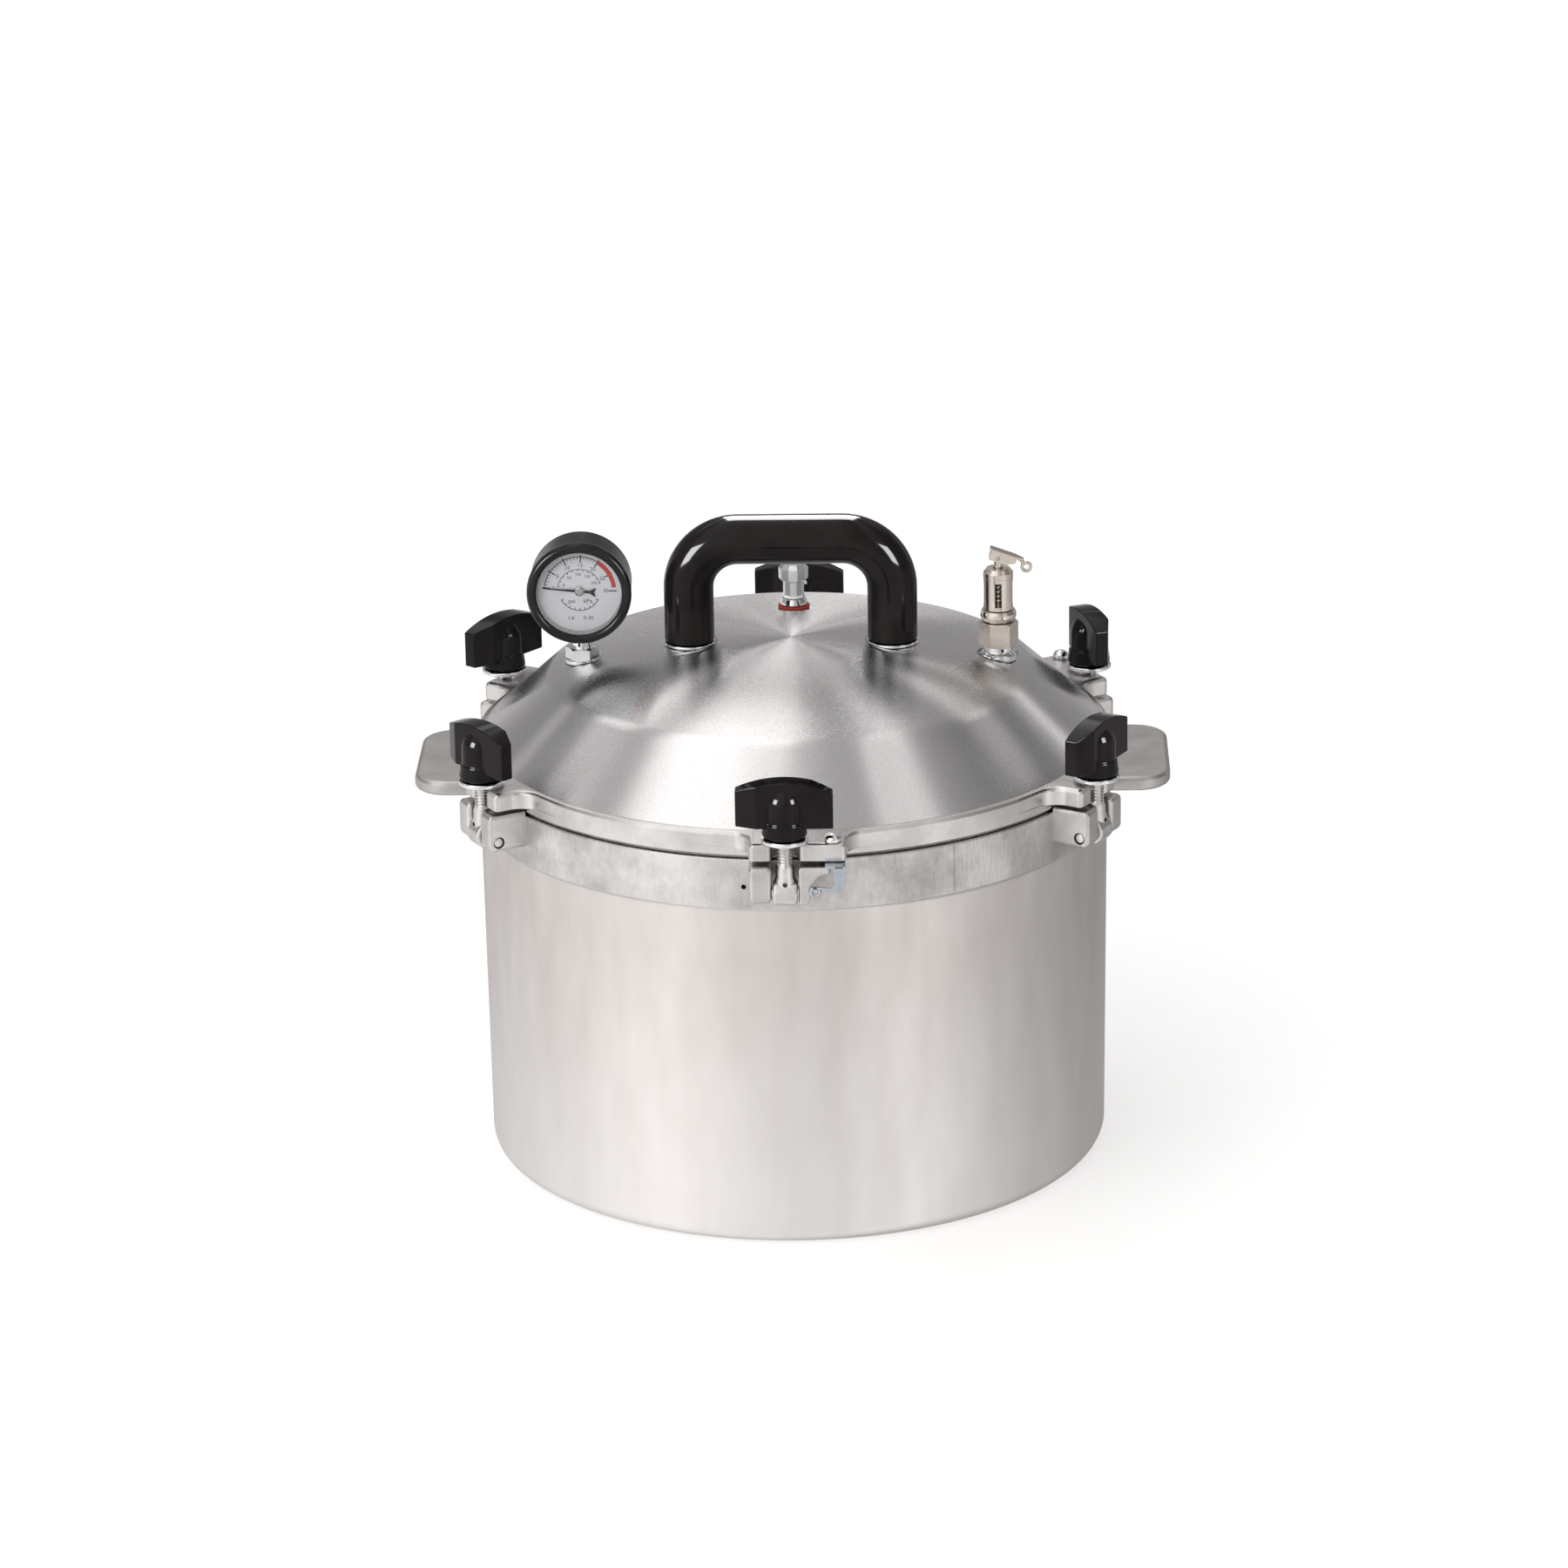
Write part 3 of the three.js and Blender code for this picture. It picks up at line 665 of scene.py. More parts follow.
def pot_aluminium():
    """A satin spun wall under a rough machined band."""
    n = Surface("pot_aluminium")
    n.set(Metallic=1.0)
    place = n.place()
    split = n.add("SeparateXYZ")
    n.link(place, split.inputs[0])
    height = split.outputs[2]
    band = n.range(height, 0, 1, 0.1765, 0.1785)
    wall = n.noise(n.polar(0.9, 0.0, 1.6), 11, 4, 0.55)
    grain = n.noise(n.polar(0.5, 0.0, 12.0), 220, 3, 0.7)
    blotch = n.noise(place, 30, 6, 0.68)
    scratch = n.noise(n.polar(30.0, 0.0, 26.0), 3.2, 5, 0.75)
    # Painted reflection: the wall's colour grows lighter towards the bottom, standing in for the
    # bright floor, which the wall does not reflect.
    upper_wall_tone = n.mix(n.range(wall, 0, 1), (0.80, 0.765, 0.745), (0.73, 0.69, 0.67))
    floor_reflection_tone = n.mix(n.range(wall, 0, 1), (0.91, 0.885, 0.87), (0.87, 0.84, 0.82))
    wall_with_painted_reflection = n.mix(n.range(height, 0, 1, 0.03, 0.15), floor_reflection_tone, upper_wall_tone)
    rough_band = n.mix(n.range(blotch, 0, 1, 0.35, 0.65), (0.78, 0.765, 0.76), (0.50, 0.485, 0.48))
    n.colour(n.mix(band, wall_with_painted_reflection, rough_band))
    satin = n.math("ADD", n.range(wall, 0.40, 0.47), n.range(grain, -0.03, 0.04))
    torn = n.math("ADD", n.range(blotch, 0.24, 0.46), n.range(scratch, -0.10, 0.10))
    mixed = n.add("Mix", data_type="FLOAT")
    n.link(band, mixed.inputs[0])
    n.link(satin, mixed.inputs[2])
    n.link(torn, mixed.inputs[3])
    n.roughness(mixed.outputs[0])
    lines = n.bump(grain, 0.05, 0.0001)
    n.bump(n.math("MULTIPLY", scratch, band), 0.45, 0.0006, lines)
    n.turned_grain(0.35)
    return n.material


def lens_glass():
    n = Surface("lens")
    n.set(Transmission_Weight=1.0, IOR=1.2)
    haze = n.noise(n.place(), 60, 2)
    n.roughness(n.range(haze, 0.0, 0.02))
    return n.material


pot_metal = pot_aluminium()
lid_metal = turned_aluminium("lid_aluminium", (0.84, 0.83, 0.83), 0.245, 0.08, 1.0)
rim_metal = cast_aluminium("rim_aluminium", (0.80, 0.785, 0.775), 0.27, 0.10)
handle_metal = cast_aluminium("handle_aluminium", (0.62, 0.60, 0.59), 0.36, 0.14)
ear_metal = cast_aluminium("ear_aluminium", (0.76, 0.74, 0.73), 0.27, 0.12)
rack_metal = cast_aluminium("rack_aluminium", (0.70, 0.70, 0.70), 0.34, 0.08)
phenolic = moulded_black("black_phenolic", 0.05)
enamel = moulded_black("black_enamel", 0.16, (0.003, 0.003, 0.003))
chrome = plated("chrome", (0.86, 0.86, 0.87), 0.07, 0.04)
bolt_metal = plated("bolt_steel", (0.74, 0.73, 0.72), 0.16, 0.10, 160)
nickel = plated("nickel", (0.74, 0.67, 0.61), 0.16, 0.10, 160)
zinc = plated("zinc_steel", (0.56, 0.62, 0.68), 0.24, 0.12, 200)
steel = plated("steel", (0.60, 0.58, 0.56), 0.24, 0.10, 200)
brass = plated("brass", (0.78, 0.58, 0.28), 0.24, 0.12, 200)
rubber = plain_paint("red_rubber", (0.52, 0.04, 0.02), (0.36, 0.03, 0.02), 0.55)
dial_paint = plain_paint("dial_white", (0.93, 0.95, 0.99), (0.90, 0.92, 0.97), 0.45, 60)
ink = plain_paint("dial_ink", (0.03, 0.03, 0.035), (0.05, 0.05, 0.055), 0.5)
red_ink = plain_paint("dial_red", (0.75, 0.10, 0.06), (0.68, 0.08, 0.05), 0.5)
glass = lens_glass()

# ---- Pot ----

BAND = 160.0  # radius of the machined band below the rim
BAND_LOW = 178.0
BAND_INSIDE = 155.6
RIM = 203.0
FLOOR = 6.0  # height of the pot's floor inside
SEAM_ANGLE = -59.6
HANDLE_TIP = 189.5
HANDLE_HALF = 42.0
HANDLE_LOW = 195.0
HANDLE_HIGH = 202.5


def pot_shell():
    outer = rounded(
        [
            (0, 1.2, 0), (138, 1.2, 0), (141, 0, 1), (157, 0, 12), (158.4, 172, 0), (158.9, 176, 2),
            (160, 177.6, 1.2), (BAND, 181, 0), (BAND, RIM, 0.8), (BAND_INSIDE, RIM, 0.8),
            (BAND_INSIDE, BAND_LOW, 0), (152.6, FLOOR, 10), (100, FLOOR, 0), (0, FLOOR, 0),
        ],
        False, 8,
    )
    return lathe(outer, ROUND)


def band_hole():
    """The small hole in the band beside the front clamp."""
    return moved(lying_rod(1.25, 8, 20), -20.6, -BAND + 1, 189)


def band_seam():
    """A fine upright line in the band, to the right of the front."""
    deep, half = BAND - 0.35, 0.25
    line = [(deep, -half), (BAND + 1, -half), (BAND + 1, half), (deep, half)]
    return spun(prism(line, BAND_LOW + 1, RIM - 1), SEAM_ANGLE)


def side_handle(turn):
    corners = [
        (148, -56, 0), (154.4, -HANDLE_HALF, 9), (HANDLE_TIP, -HANDLE_HALF, 20),
        (HANDLE_TIP, HANDLE_HALF, 20), (154.4, HANDLE_HALF, 9), (148, 56, 0),
    ]
    return spun(prism(rounded(corners, step=6), HANDLE_LOW, HANDLE_HIGH, 2.4), turn)


EAR_GAP = 6.5
EAR_WIDE = 17.5
EAR_IN = 156.0  # where an ear starts, inside the band
EAR_OUT = 179.5
EAR_LOW = 187.0
EAR_TOP = 206.0
SHELF_REACH = 21.8
FLANGE_ROOM = 160.6  # radius that the ears leave free above the rim
PIN = 2.6


def ear(side):
    outline = rounded(
        [(EAR_IN, EAR_LOW, 0), (EAR_OUT, EAR_LOW, 4), (EAR_OUT, EAR_TOP, 2.6), (EAR_IN, EAR_TOP, 0)]
    )
    half = (EAR_WIDE - EAR_GAP) / 2
    return upright(outline, half, 2.2, side * (EAR_GAP + half))


def guide_ear():
    """The ear beside a guide clip: its top reaches sideways as a shelf over a hollow."""
    outline = rounded(
        [
            (EAR_GAP, EAR_LOW, 1.5), (11.5, EAR_LOW, 2), (12.5, 196, 5), (16.5, 201.6, 5),
            (SHELF_REACH, 202.8, 1), (SHELF_REACH, EAR_TOP, 1), (EAR_GAP, EAR_TOP, 1.5),
        ],
    )
    return along_radius(outline, EAR_IN, EAR_OUT - 0.3, 0.0, 1.2)


def at_pivot(radius, half, edge=0.0):
    """A rod through a clamp's pivot."""
    return moved(lying_rod(radius, half, SMALL, edge), CLAMP_RADIUS, 0, PIVOT_HEIGHT)


def make_pot():
    finish = ("pot", "cast_aluminium", ["pot"])
    shell = combine([pot_shell()], [band_hole(), band_seam()])
    piece("pot_wall", shell, pot_metal, *finish)
    for name, turn in (("right", 0), ("left", 180)):
        piece("pot_handle_" + name, side_handle(turn), handle_metal, *finish)
    for i in range(CLAMPS):
        ears = [ear(-1), guide_ear() if i in GUIDED else ear(1)]
        flange_room = rod(FLANGE_ROOM, RIM, EAR_TOP + 4, ROUND)
        drilled = combine([merged(ears)], [at_pivot(PIN + 0.4, 30), flange_room])
        piece(f"pot_ears_{i + 1}", in_clamp(drilled, i), ear_metal, *finish)
        pin = in_clamp(at_pivot(PIN, EAR_WIDE - 0.1, 1.2), i)
        piece(f"pin_{i + 1}", pin, bolt_metal, "pot", "steel", [f"clamp_pin_{i + 1}"])


# ---- Clamps ----

NUT_LOW = bottom_of("wing_nut_1")
WASHER_LOW = bottom_of("nut_washer_1")
WASHER_THICK = 2.5
BOLT_TOP = top_of("swing_bolt_1")
THREAD_LOW = 207.0
THREAD_PITCH = 1.5875
THREAD_OUT = 3.9
THREAD_ROOT = 3.4
EYE_RADIUS = 6.5
NUT_ANGLES = [0, 2, -9, 0, -9, 12]  # where each wing nut stopped, about its own bolt


def bolt():
    """A swing bolt: a flat eye round the pin, a plain neck with a cross hole, and a thread."""
    shank = [(0, 190), (5.0, 190), (5.2, 199), (4.6, 200.5), (4.5, 204.5), (THREAD_OUT, 206)]
    level = THREAD_LOW
    while level < BOLT_TOP - 2.5:
        root, crest = level + THREAD_PITCH * 0.45, level + THREAD_PITCH * 0.9
        shank += [(THREAD_OUT, level), (THREAD_ROOT, root), (THREAD_OUT, crest)]
        level += THREAD_PITCH
    shank += [(THREAD_OUT, BOLT_TOP - 1), (3.0, BOLT_TOP), (0, BOLT_TOP)]
    eye = on_circle((CLAMP_RADIUS, PIVOT_HEIGHT), EYE_RADIUS, range(0, 360, 9))
    body = upright(eye, 6, 1.4)
    cross_hole = moved(spun(rod(1.2, -9, 9, 20), 90, "Y"), CLAMP_RADIUS, 0, 197.5)
    stem = lathe(shank, SMALL, (CLAMP_RADIUS, 0, 0))
    return combine([body, stem], [at_pivot(PIN + 0.3, 20), cross_hole])


def washer():
    low, high = WASHER_LOW, WASHER_LOW + WASHER_THICK
    outline = [(5.1, low, 0.3), (11.5, low, 0.7), (11.5, high - 0.4, 0.8), (9.5, high, 1.5)]
    outline.append((5.1, high, 0.3))
    return ring(outline, MEDIUM, (CLAMP_RADIUS, 0, 0))


SPAN = 23.5  # from the nut's middle to a wing's end
WING_THICK = 5.5
WING_BEVEL = 10.0  # length of the thumb cut
WING_LOW = 5.0
WING_END = 23.0  # height of a wing at its end, and of the crown at the middle
WING_CROWN = 28.0
HUB = 9.5
HUB_DOME = 15.8  # height where the hub's rounded top starts


def wings():
    """Two wings under a crowned top. One end of each face is cut back for the thumb."""
    rise = WING_CROWN - WING_END
    radius = (SPAN * SPAN + rise * rise) / (2 * rise)
    cut = (WING_THICK - 1) / WING_BEVEL
    stations = [-SPAN, -SPAN + WING_BEVEL / 2]
    stations += [(WING_BEVEL - SPAN) + (SPAN - WING_BEVEL) * k / 9 for k in range(19)]
    stations += [SPAN - WING_BEVEL / 2, SPAN]
    points, faces = [], []
    for x in stations:
        front = -min(WING_THICK, 1 + cut * (x + SPAN))
        back = min(WING_THICK, 1 + cut * (SPAN - x))
        top = WING_CROWN - radius + math.sqrt(radius * radius - x * x)
        points += [(x, front, WING_LOW), (x, back, WING_LOW), (x, back, top), (x, front, top)]
    last = len(stations) - 1
    for i in range(last):
        a, b = 4 * i, 4 * i + 4
        faces += [[a + k, b + k, b + (k + 1) % 4, a + (k + 1) % 4] for k in range(4)]
    faces += [[3, 2, 1, 0], [4 * last, 4 * last + 1, 4 * last + 2, 4 * last + 3]]
    bm = tidy(build(points, faces))
    sharp = [
        e for e in bm.edges if len(e.link_faces) == 2 and e.calc_face_angle() > math.radians(18)
    ]
    bmesh.ops.bevel(
        bm, geom=sharp, offset=0.55, segments=3, profile=0.5, affect="EDGES", clamp_overlap=True
    )
    return bm


def wing_nut():
    hub = rounded(
        [(4.9, 0, 0.3), (10.2, 0, 0.6), (11, 1.2, 1.5), (10.2, 7.2, 1), (HUB, 8, 1), (HUB, 16, 0)],
        False,
    )
    dome = on_circle((0, HUB_DOME), HUB, range(0, 90, 9))
    outline = hub[:-1] + dome + [(0, HUB_DOME + HUB), (0, 21), (4.9, 19)]
    return combine([lathe(outline, MEDIUM), wings()])


def make_clamps():
    for i in range(CLAMPS):
        nut = moved(spun(wing_nut(), 90 + NUT_ANGLES[i]), CLAMP_RADIUS, 0, NUT_LOW)
        for kind, body, bm, material, slot in (
            ("bolt", "swing_bolt", bolt(), bolt_metal, "bolt_steel"),
            ("washer", "nut_washer", washer(), chrome, "chrome"),
            ("nut", "wing_nut", nut, phenolic, "black_phenolic"),
        ):
            node = f"{body}_{i + 1}"
            piece(f"{kind}_{i + 1}", in_clamp(bm, i), material, node, slot, [node])


# ---- Lid ----

APEX = 264.0
DOME_RADIUS = 504.0
DOME_EDGE = 112  # where the dome ends and the cone begins
LID_THICK = 5.0
FOOT = 156.5
FLANGE_LOW = 203.4
LUG_LOW = 207.8
LUG_TOP = 217.0
LUG_HALF = 17.5
LUG_END = 175.9
SLOT_HALF = 6.5
SLOT_END = 168.0
GUIDE_LUG = 29.5  # how far a guided lug reaches sideways


def dome_height(radius, apex=APEX):
    return apex - radius * radius / (2 * DOME_RADIUS)


def dome():
    crown = [(r, dome_height(r), 0) for r in range(4, DOME_EDGE, 4)]
    under = [(r, dome_height(r, APEX - LID_THICK), 0) for r in range(DOME_EDGE - 4, 0, -6)]
    corners = [(0, APEX, 0)] + crown
    corners += [
        (121.0, 249.3, 16), (FOOT, LUG_TOP, 1.0), (157.5, 214, 0), (154.6, 206, 0.5),
        (154.6, 193, 1.4), (150, 193, 1), (150, 215, 3), (119.6, 243.4, 20),
    ]
    corners += under + [(0, APEX - LID_THICK, 0)]
    return lathe(rounded(corners, False, 5), ROUND)


def rim_outline():
    """The rim from above: a circle with six slotted lugs, each flowing into it over a fillet."""
    corners = []
    near = LUG_HALF + 24.5  # half the width of a lug with its fillets
    for i in range(CLAMPS):
        angle = math.radians(clamp_angle(i))
        guide = i in GUIDED
        far = GUIDE_LUG if guide else LUG_HALF
        start = math.asin(near / BAND)
        end = math.asin((far + 24.5) / BAND)
        local = [
            (BAND * math.cos(start), -near, 0), (159.2, -LUG_HALF, 15), (LUG_END, -LUG_HALF, 2.6),
            (LUG_END, -SLOT_HALF, 2.6), (SLOT_END, -SLOT_HALF, 3), (SLOT_END, SLOT_HALF, 3),
            (LUG_END, SLOT_HALF, 2.6), (LUG_END, far, 2.6), (158.4 if guide else 159.2, far, 15),
            (BAND * math.cos(end), BAND * math.sin(end), 0),
        ]
        c, s = math.cos(angle), math.sin(angle)
        corners += [(x * c - y * s, x * s + y * c, r) for x, y, r in local]
        next_start = angle + 2 * math.pi / CLAMPS - start
        begin = angle + end
        steps = max(2, round((next_start - begin) / math.radians(2.5)))
        for k in range(1, steps):
            a = begin + (next_start - begin) * k / steps
            corners.append((BAND * math.cos(a), BAND * math.sin(a), 0))
    return rounded(corners, True, 7)


# The flats under the fittings and the handle: x, y, height and radius.
SEATS = [
    (GAUGE.x, 0, 251.6, 10.5), (VALVE_X, 0, 251.6, 11), (0, PLUG_Y, 260, 10),
    (-HANDLE_REACH, 0, 261.2, 14), (HANDLE_REACH, 0, 261.2, 14),
]


def make_lid():
    pads = [moved(rod(r - 0.4, z - 7, z - 0.2, MEDIUM), x, y) for x, y, z, r in SEATS]
    cuts = [moved(rod(r, z, z + 7, MEDIUM), x, y) for x, y, z, r in SEATS]
    shell = combine([dome()], cuts)
    piece("lid_dome", shell, lid_metal, "lid", "turned_aluminium", ["lid"])
    for k, pad in enumerate(pads):
        piece(f"lid_pad_{k + 1}", pad, lid_metal, "lid", "turned_aluminium", ["lid"])
    rim = prism(rim_outline(), LUG_LOW, LUG_TOP, 0.8, 152.0, 2.4)
    piece("lid_rim", rim, rim_metal, "lid", "turned_aluminium", ["lid"])
    outline = [(153, FLANGE_LOW, 0), (158.2, FLANGE_LOW, 0.4), (BAND, 205.4, 0.8)]
    outline += [(BAND, 209, 0), (153, 209, 0)]
    piece("lid_seat", ring(outline, ROUND), rim_metal, "lid", "turned_aluminium", ["lid"])


# ---- Lid handle ----

TUBE = 12.5
HANDLE_TOP = top_of("lid_handle")
HANDLE_FOOT = bottom_of("lid_handle")
HANDLE_CORNER = 25.0


def make_handle():
    high = HANDLE_TOP - TUBE
    bend = high - HANDLE_CORNER
    reach = HANDLE_REACH
    inner = reach - HANDLE_CORNER
    leg = spread(HANDLE_FOOT, bend, 6)
    path = [(-reach, 0, z) for z in leg[:-1]]
    path += arc_path(-inner, bend, HANDLE_CORNER, 180, 90, 16)
    path += [(x, 0, high) for x in spread(-inner, inner, 6)[1:-1]]
    path += arc_path(inner, bend, HANDLE_CORNER, 90, 0, 16)
    path += [(reach, 0, z) for z in leg[-2::-1]]
    bar = sweep(path, TUBE, MEDIUM, 1.2)
    piece("handle_bar", bar, phenolic, "lid", "black_phenolic", ["lid_handle"])
    for side in ("left", "right"):
        node = "handle_washer_" + side
        low, top = bottom_of(node), top_of(node)
        outline = [(3, low, 0.2), (13.3, low, 0.5), (13.3, top, 0.6), (3, top, 0.2)]
        collar = ring(outline, MEDIUM, (centre(node).x, 0, 0))
        piece("handle_ring_" + side, collar, chrome, "lid", "chrome", [node])


# ---- Guide clips ----


SHEET = 1.2
CLIP_FRONT = EAR_OUT + 1
CLIP_TOP = LUG_LOW - GAP
CLIP_SIDE = 29.0
SCREW = 2.2
SCREW_HEAD = 4.15
SCREW_AT = (171.5, 23, 0)


def slab(x_low, x_high, y_low, y_high, low, high, radii):
    """A flat plate. Its corner radii run from its inner corner round to its far one."""
    corners = [(x_low, y_low), (x_high, y_low), (x_high, y_high), (x_low, y_high)]
    outline = rounded([(*corner, radius) for corner, radius in zip(corners, radii)])
    return prism(outline, low, high, 0.3)


def guide_clip():
    """A bent sheet: a tab under the lug, a strip in front of the ear and a curled wire end."""
    top, front = CLIP_TOP, CLIP_FRONT
    tab = slab(165.6, front + SHEET, 19.2, CLIP_SIDE, top - SHEET, top, (2, 1, 1, 2))
    outline = [(23.5, 194.2, 0.8), (25.6, 194.2, 0.8), (26.4, 198.4, 1.5)]
    outline += [(29.3, 199, 1), (29.3, top, 0.8), (23.5, top, 0.8)]
    strip = along_radius(rounded(outline), front, front + SHEET, 0.35)
    fold = slab(173, front + 1, 27.5, CLIP_SIDE, 199, top - 0.2, (0.3,) * 4)
    line = [(24.5, 197.0), (21.5, 195.6), (18, 196.4)]
    line += on_circle((14.4, 194.4), 2.1, range(60, -270, -22))
    curl = sweep([(front + 0.8, y, z) for y, z in line], 0.75, 12, 0.3)
    return merged([tab, strip, fold, curl])


def guide_screw():
    seat = LUG_TOP + GAP
    tip = CLIP_TOP - SHEET
    head = on_circle((0, 0), 1, range(0, 90, 9))
    outline = [(0, tip), (SCREW, tip), (SCREW, seat), (SCREW_HEAD, seat)]
    outline += [(SCREW_HEAD * x, seat + 0.9 + 3.1 * z) for x, z in head]
    return lathe(outline + [(0, seat + 4)], SMALL, SCREW_AT)


def make_guides():
    for i, side in zip(GUIDED, ("front", "back")):
        clip, screw = in_clamp(guide_clip(), i), in_clamp(guide_screw(), i)
        piece("guide_" + side, clip, zinc, "lid", "zinc_steel", ["guide_clip_" + side])
        piece("guide_bolt_" + side, screw, chrome, "lid", "chrome", ["guide_screw_" + side])


# ---- Gauge ----

DIAL_FACE = 8.0  # the dial's front, in front of the gauge's middle plane
FITTING_SEAT = 251.9  # where the gauge and the valve stand on the lid
INK_LOW = DIAL_FACE - 0.02
INK_HIGH = DIAL_FACE + 0.08
ROUNDER = MEDIUM * 2
FULL_SCALE = 30
MAJOR = 5
RED_FROM = 20
RED_TO = 29
ZERO_ANGLE = 175.0
SCALE_SWEEP = 176.0
POINTER_LOW = 9.2
POINTER_REST = -5
INNER_SCALE = (168, 20)  # angles of the second scale's ends
INNER_NUMBERS = ("0", "50", "100", "150", "200")


def face_front(bm):
    """Turns a shape drawn about Z so that its heights point at -Y, at the gauge."""
    return moved(spun(bm, 90, "X"), GAUGE.x, 0, GAUGE.z)


def dial_arc(radius, width, start, end, proud=0.0):
    angles = spread(start, end, max(4, round(abs(end - start) / 3)))
    outer = on_circle((0, 0), radius, angles)
    inner = on_circle((0, 0), radius - width, angles)
    return prism(outer + inner[::-1], INK_LOW, INK_HIGH + proud)


def dial_tick(angle, start, end, width):
    line = [(start, -width / 2), (end, -width / 2), (end, width / 2), (start, width / 2)]
    return spun(prism(line, INK_LOW, INK_HIGH), angle)


def dial_text(text, x, y, size):
    curve = bpy.data.curves.new("scratch", "FONT")
    curve.body = text
    curve.size = size
    curve.align_x = "CENTER"
    curve.align_y = "CENTER"
    curve.extrude = 0.03
    curve.resolution_u = 3
    holder = bpy.data.objects.new("scratch", curve)
    bpy.context.scene.collection.objects.link(holder)
    bpy.context.view_layer.update()
    mesh = bpy.data.meshes.new_from_object(
        holder.evaluated_get(bpy.context.evaluated_depsgraph_get())
    )
    bm = bmesh.new()
    bm.from_mesh(mesh)
    bpy.data.objects.remove(holder)
    bpy.data.curves.remove(curve)
    bpy.data.meshes.remove(mesh)
    bmesh.ops.triangulate(bm, faces=bm.faces)
    return moved(bm, x, y, DIAL_FACE + 0.06)


def scale_angle(value):
    return ZERO_ANGLE - SCALE_SWEEP * value / FULL_SCALE


def make_dial():
    marks = [
        dial_arc(17.8, 0.4, ZERO_ANGLE, scale_angle(RED_FROM)), dial_arc(11.2, 0.3, *INNER_SCALE)
    ]
    for value in range(FULL_SCALE + 1):
        if value % MAJOR == 0:
            marks.append(dial_tick(scale_angle(value), 14.6, 18.6, 0.6))
        elif value < RED_FROM:
            marks.append(dial_tick(scale_angle(value), 16.2, 17.8, 0.26))
    marks += [dial_tick(angle, 10.0, 11.2, 0.3) for angle in spread(*INNER_SCALE, 10)]
    numbers = range(0, FULL_SCALE + 1, MAJOR)
    places = on_circle((0, 0), 13.1, [scale_angle(value) for value in numbers])
    marks += [dial_text(str(value), x, y, 2.8) for value, (x, y) in zip(numbers, places)]
    places = on_circle((0, 0), 8.3, spread(160, 28, 4))
    marks += [dial_text(text, x, y, 2.1) for text, (x, y) in zip(INNER_NUMBERS, places)]
    marks += [dial_text("psi", -4.0, -5.6, 3.2), dial_text("kPa", 4.0, -5.6, 3.2)]
    marks.append(dial_arc(10.6, 0.35, 206, 334))
    marks += [dial_tick(angle, 9.2, 10.6, 0.35) for angle in range(210, 331, 15)]
    marks += [dial_text("1.6", -4.6, -14.4, 2.8), dial_text("0-30", 4.2, -14.4, 2.8)]
    piece("dial_marks", face_front(merged(marks)), ink, "lid", "dial_white", smooth=10)
    red = dial_arc(18.4, 2.2, scale_angle(RED_FROM), scale_angle(RED_TO), 0.02)
    piece("dial_red_zone", face_front(red), red_ink, "lid", "dial_white")
    outline = [(1.2, 7, 0), (22.6, 7, 0.2), (22.6, DIAL_FACE, 0.2), (1.2, DIAL_FACE, 0)]
    piece(
        "dial_face", face_front(ring(outline, ROUNDER)), dial_paint, "lid", "dial_white",
        ["gauge_dial"],
    )


def make_gauge_case():
    outline = [(0, -13, 0), (23.5, -13, 2.5), (25.4, -10, 2), (25.6, 10, 0.3)]
    outline += [(24, 10, 0.2), (24, -11, 1), (0, -11.4, 0)]
    stem_hole = moved(rod(5.3, 255, 276, MEDIUM), GAUGE.x, 0)
    cup = combine([face_front(spindle(outline, ROUNDER))], [stem_hole])
    piece("gauge_shell", cup, enamel, "lid", "black_enamel", ["gauge_case"])
    outline = [(23.8, 10.3, 0.2), (26.1, 10.3, 0.8), (26.3, 13.2, 1.2), (25.2, 15.9, 1.6)]
    outline += [(22.6, 16, 1.1), (21.4, 14.6, 0.5), (21.4, 13.5, 0.2), (23.8, 13.5, 0.2)]
    bezel = face_front(ring(outline, ROUNDER))
    piece("gauge_ring", bezel, enamel, "lid", "black_enamel", ["gauge_bezel"])
    lens = spindle([(0, 12, 0), (23.5, 12, 0.2), (23.5, 13.2, 0.2), (0, 13.2, 0)])
    piece("gauge_window", face_front(lens), glass, "lid", "lens", ["gauge_lens"])
    rim = ring([(20.9, 8.2, 0.1), (22.9, 8.2, 0.1), (22.9, 11.8, 0.1), (22.3, 11.8, 0.1)])
    piece("gauge_reflector", face_front(rim), steel, "lid", "black_enamel")


def make_pointer():
    low = POINTER_LOW
    side = [(0, -0.75), (5.2, -0.7), (8.4, -2.5)]
    mirrored = [(x, -y) for x, y in side[::-1]]
    outline = [(-18.6, -0.16)] + side + [(7.4, 0)] + mirrored + [(-18.6, 0.16)]
    needle = spun(prism(outline, low, low + 0.5, 0.08), POINTER_REST)
    piece(
        "pointer_needle", face_front(needle), ink, "gauge_pointer", "pointer_black",
        ["gauge_pointer"],
    )
    outline = [(0, low - 0.5, 0), (2.5, low - 0.5, 0.3), (2.5, low + 0.6, 0.4)]
    outline += [(1.7, low + 1.1, 0.3), (0, low + 1.15, 0)]
    hub = face_front(spindle(outline, SMALL))
    piece("pointer_hub", hub, steel, "gauge_pointer", "pointer_black")


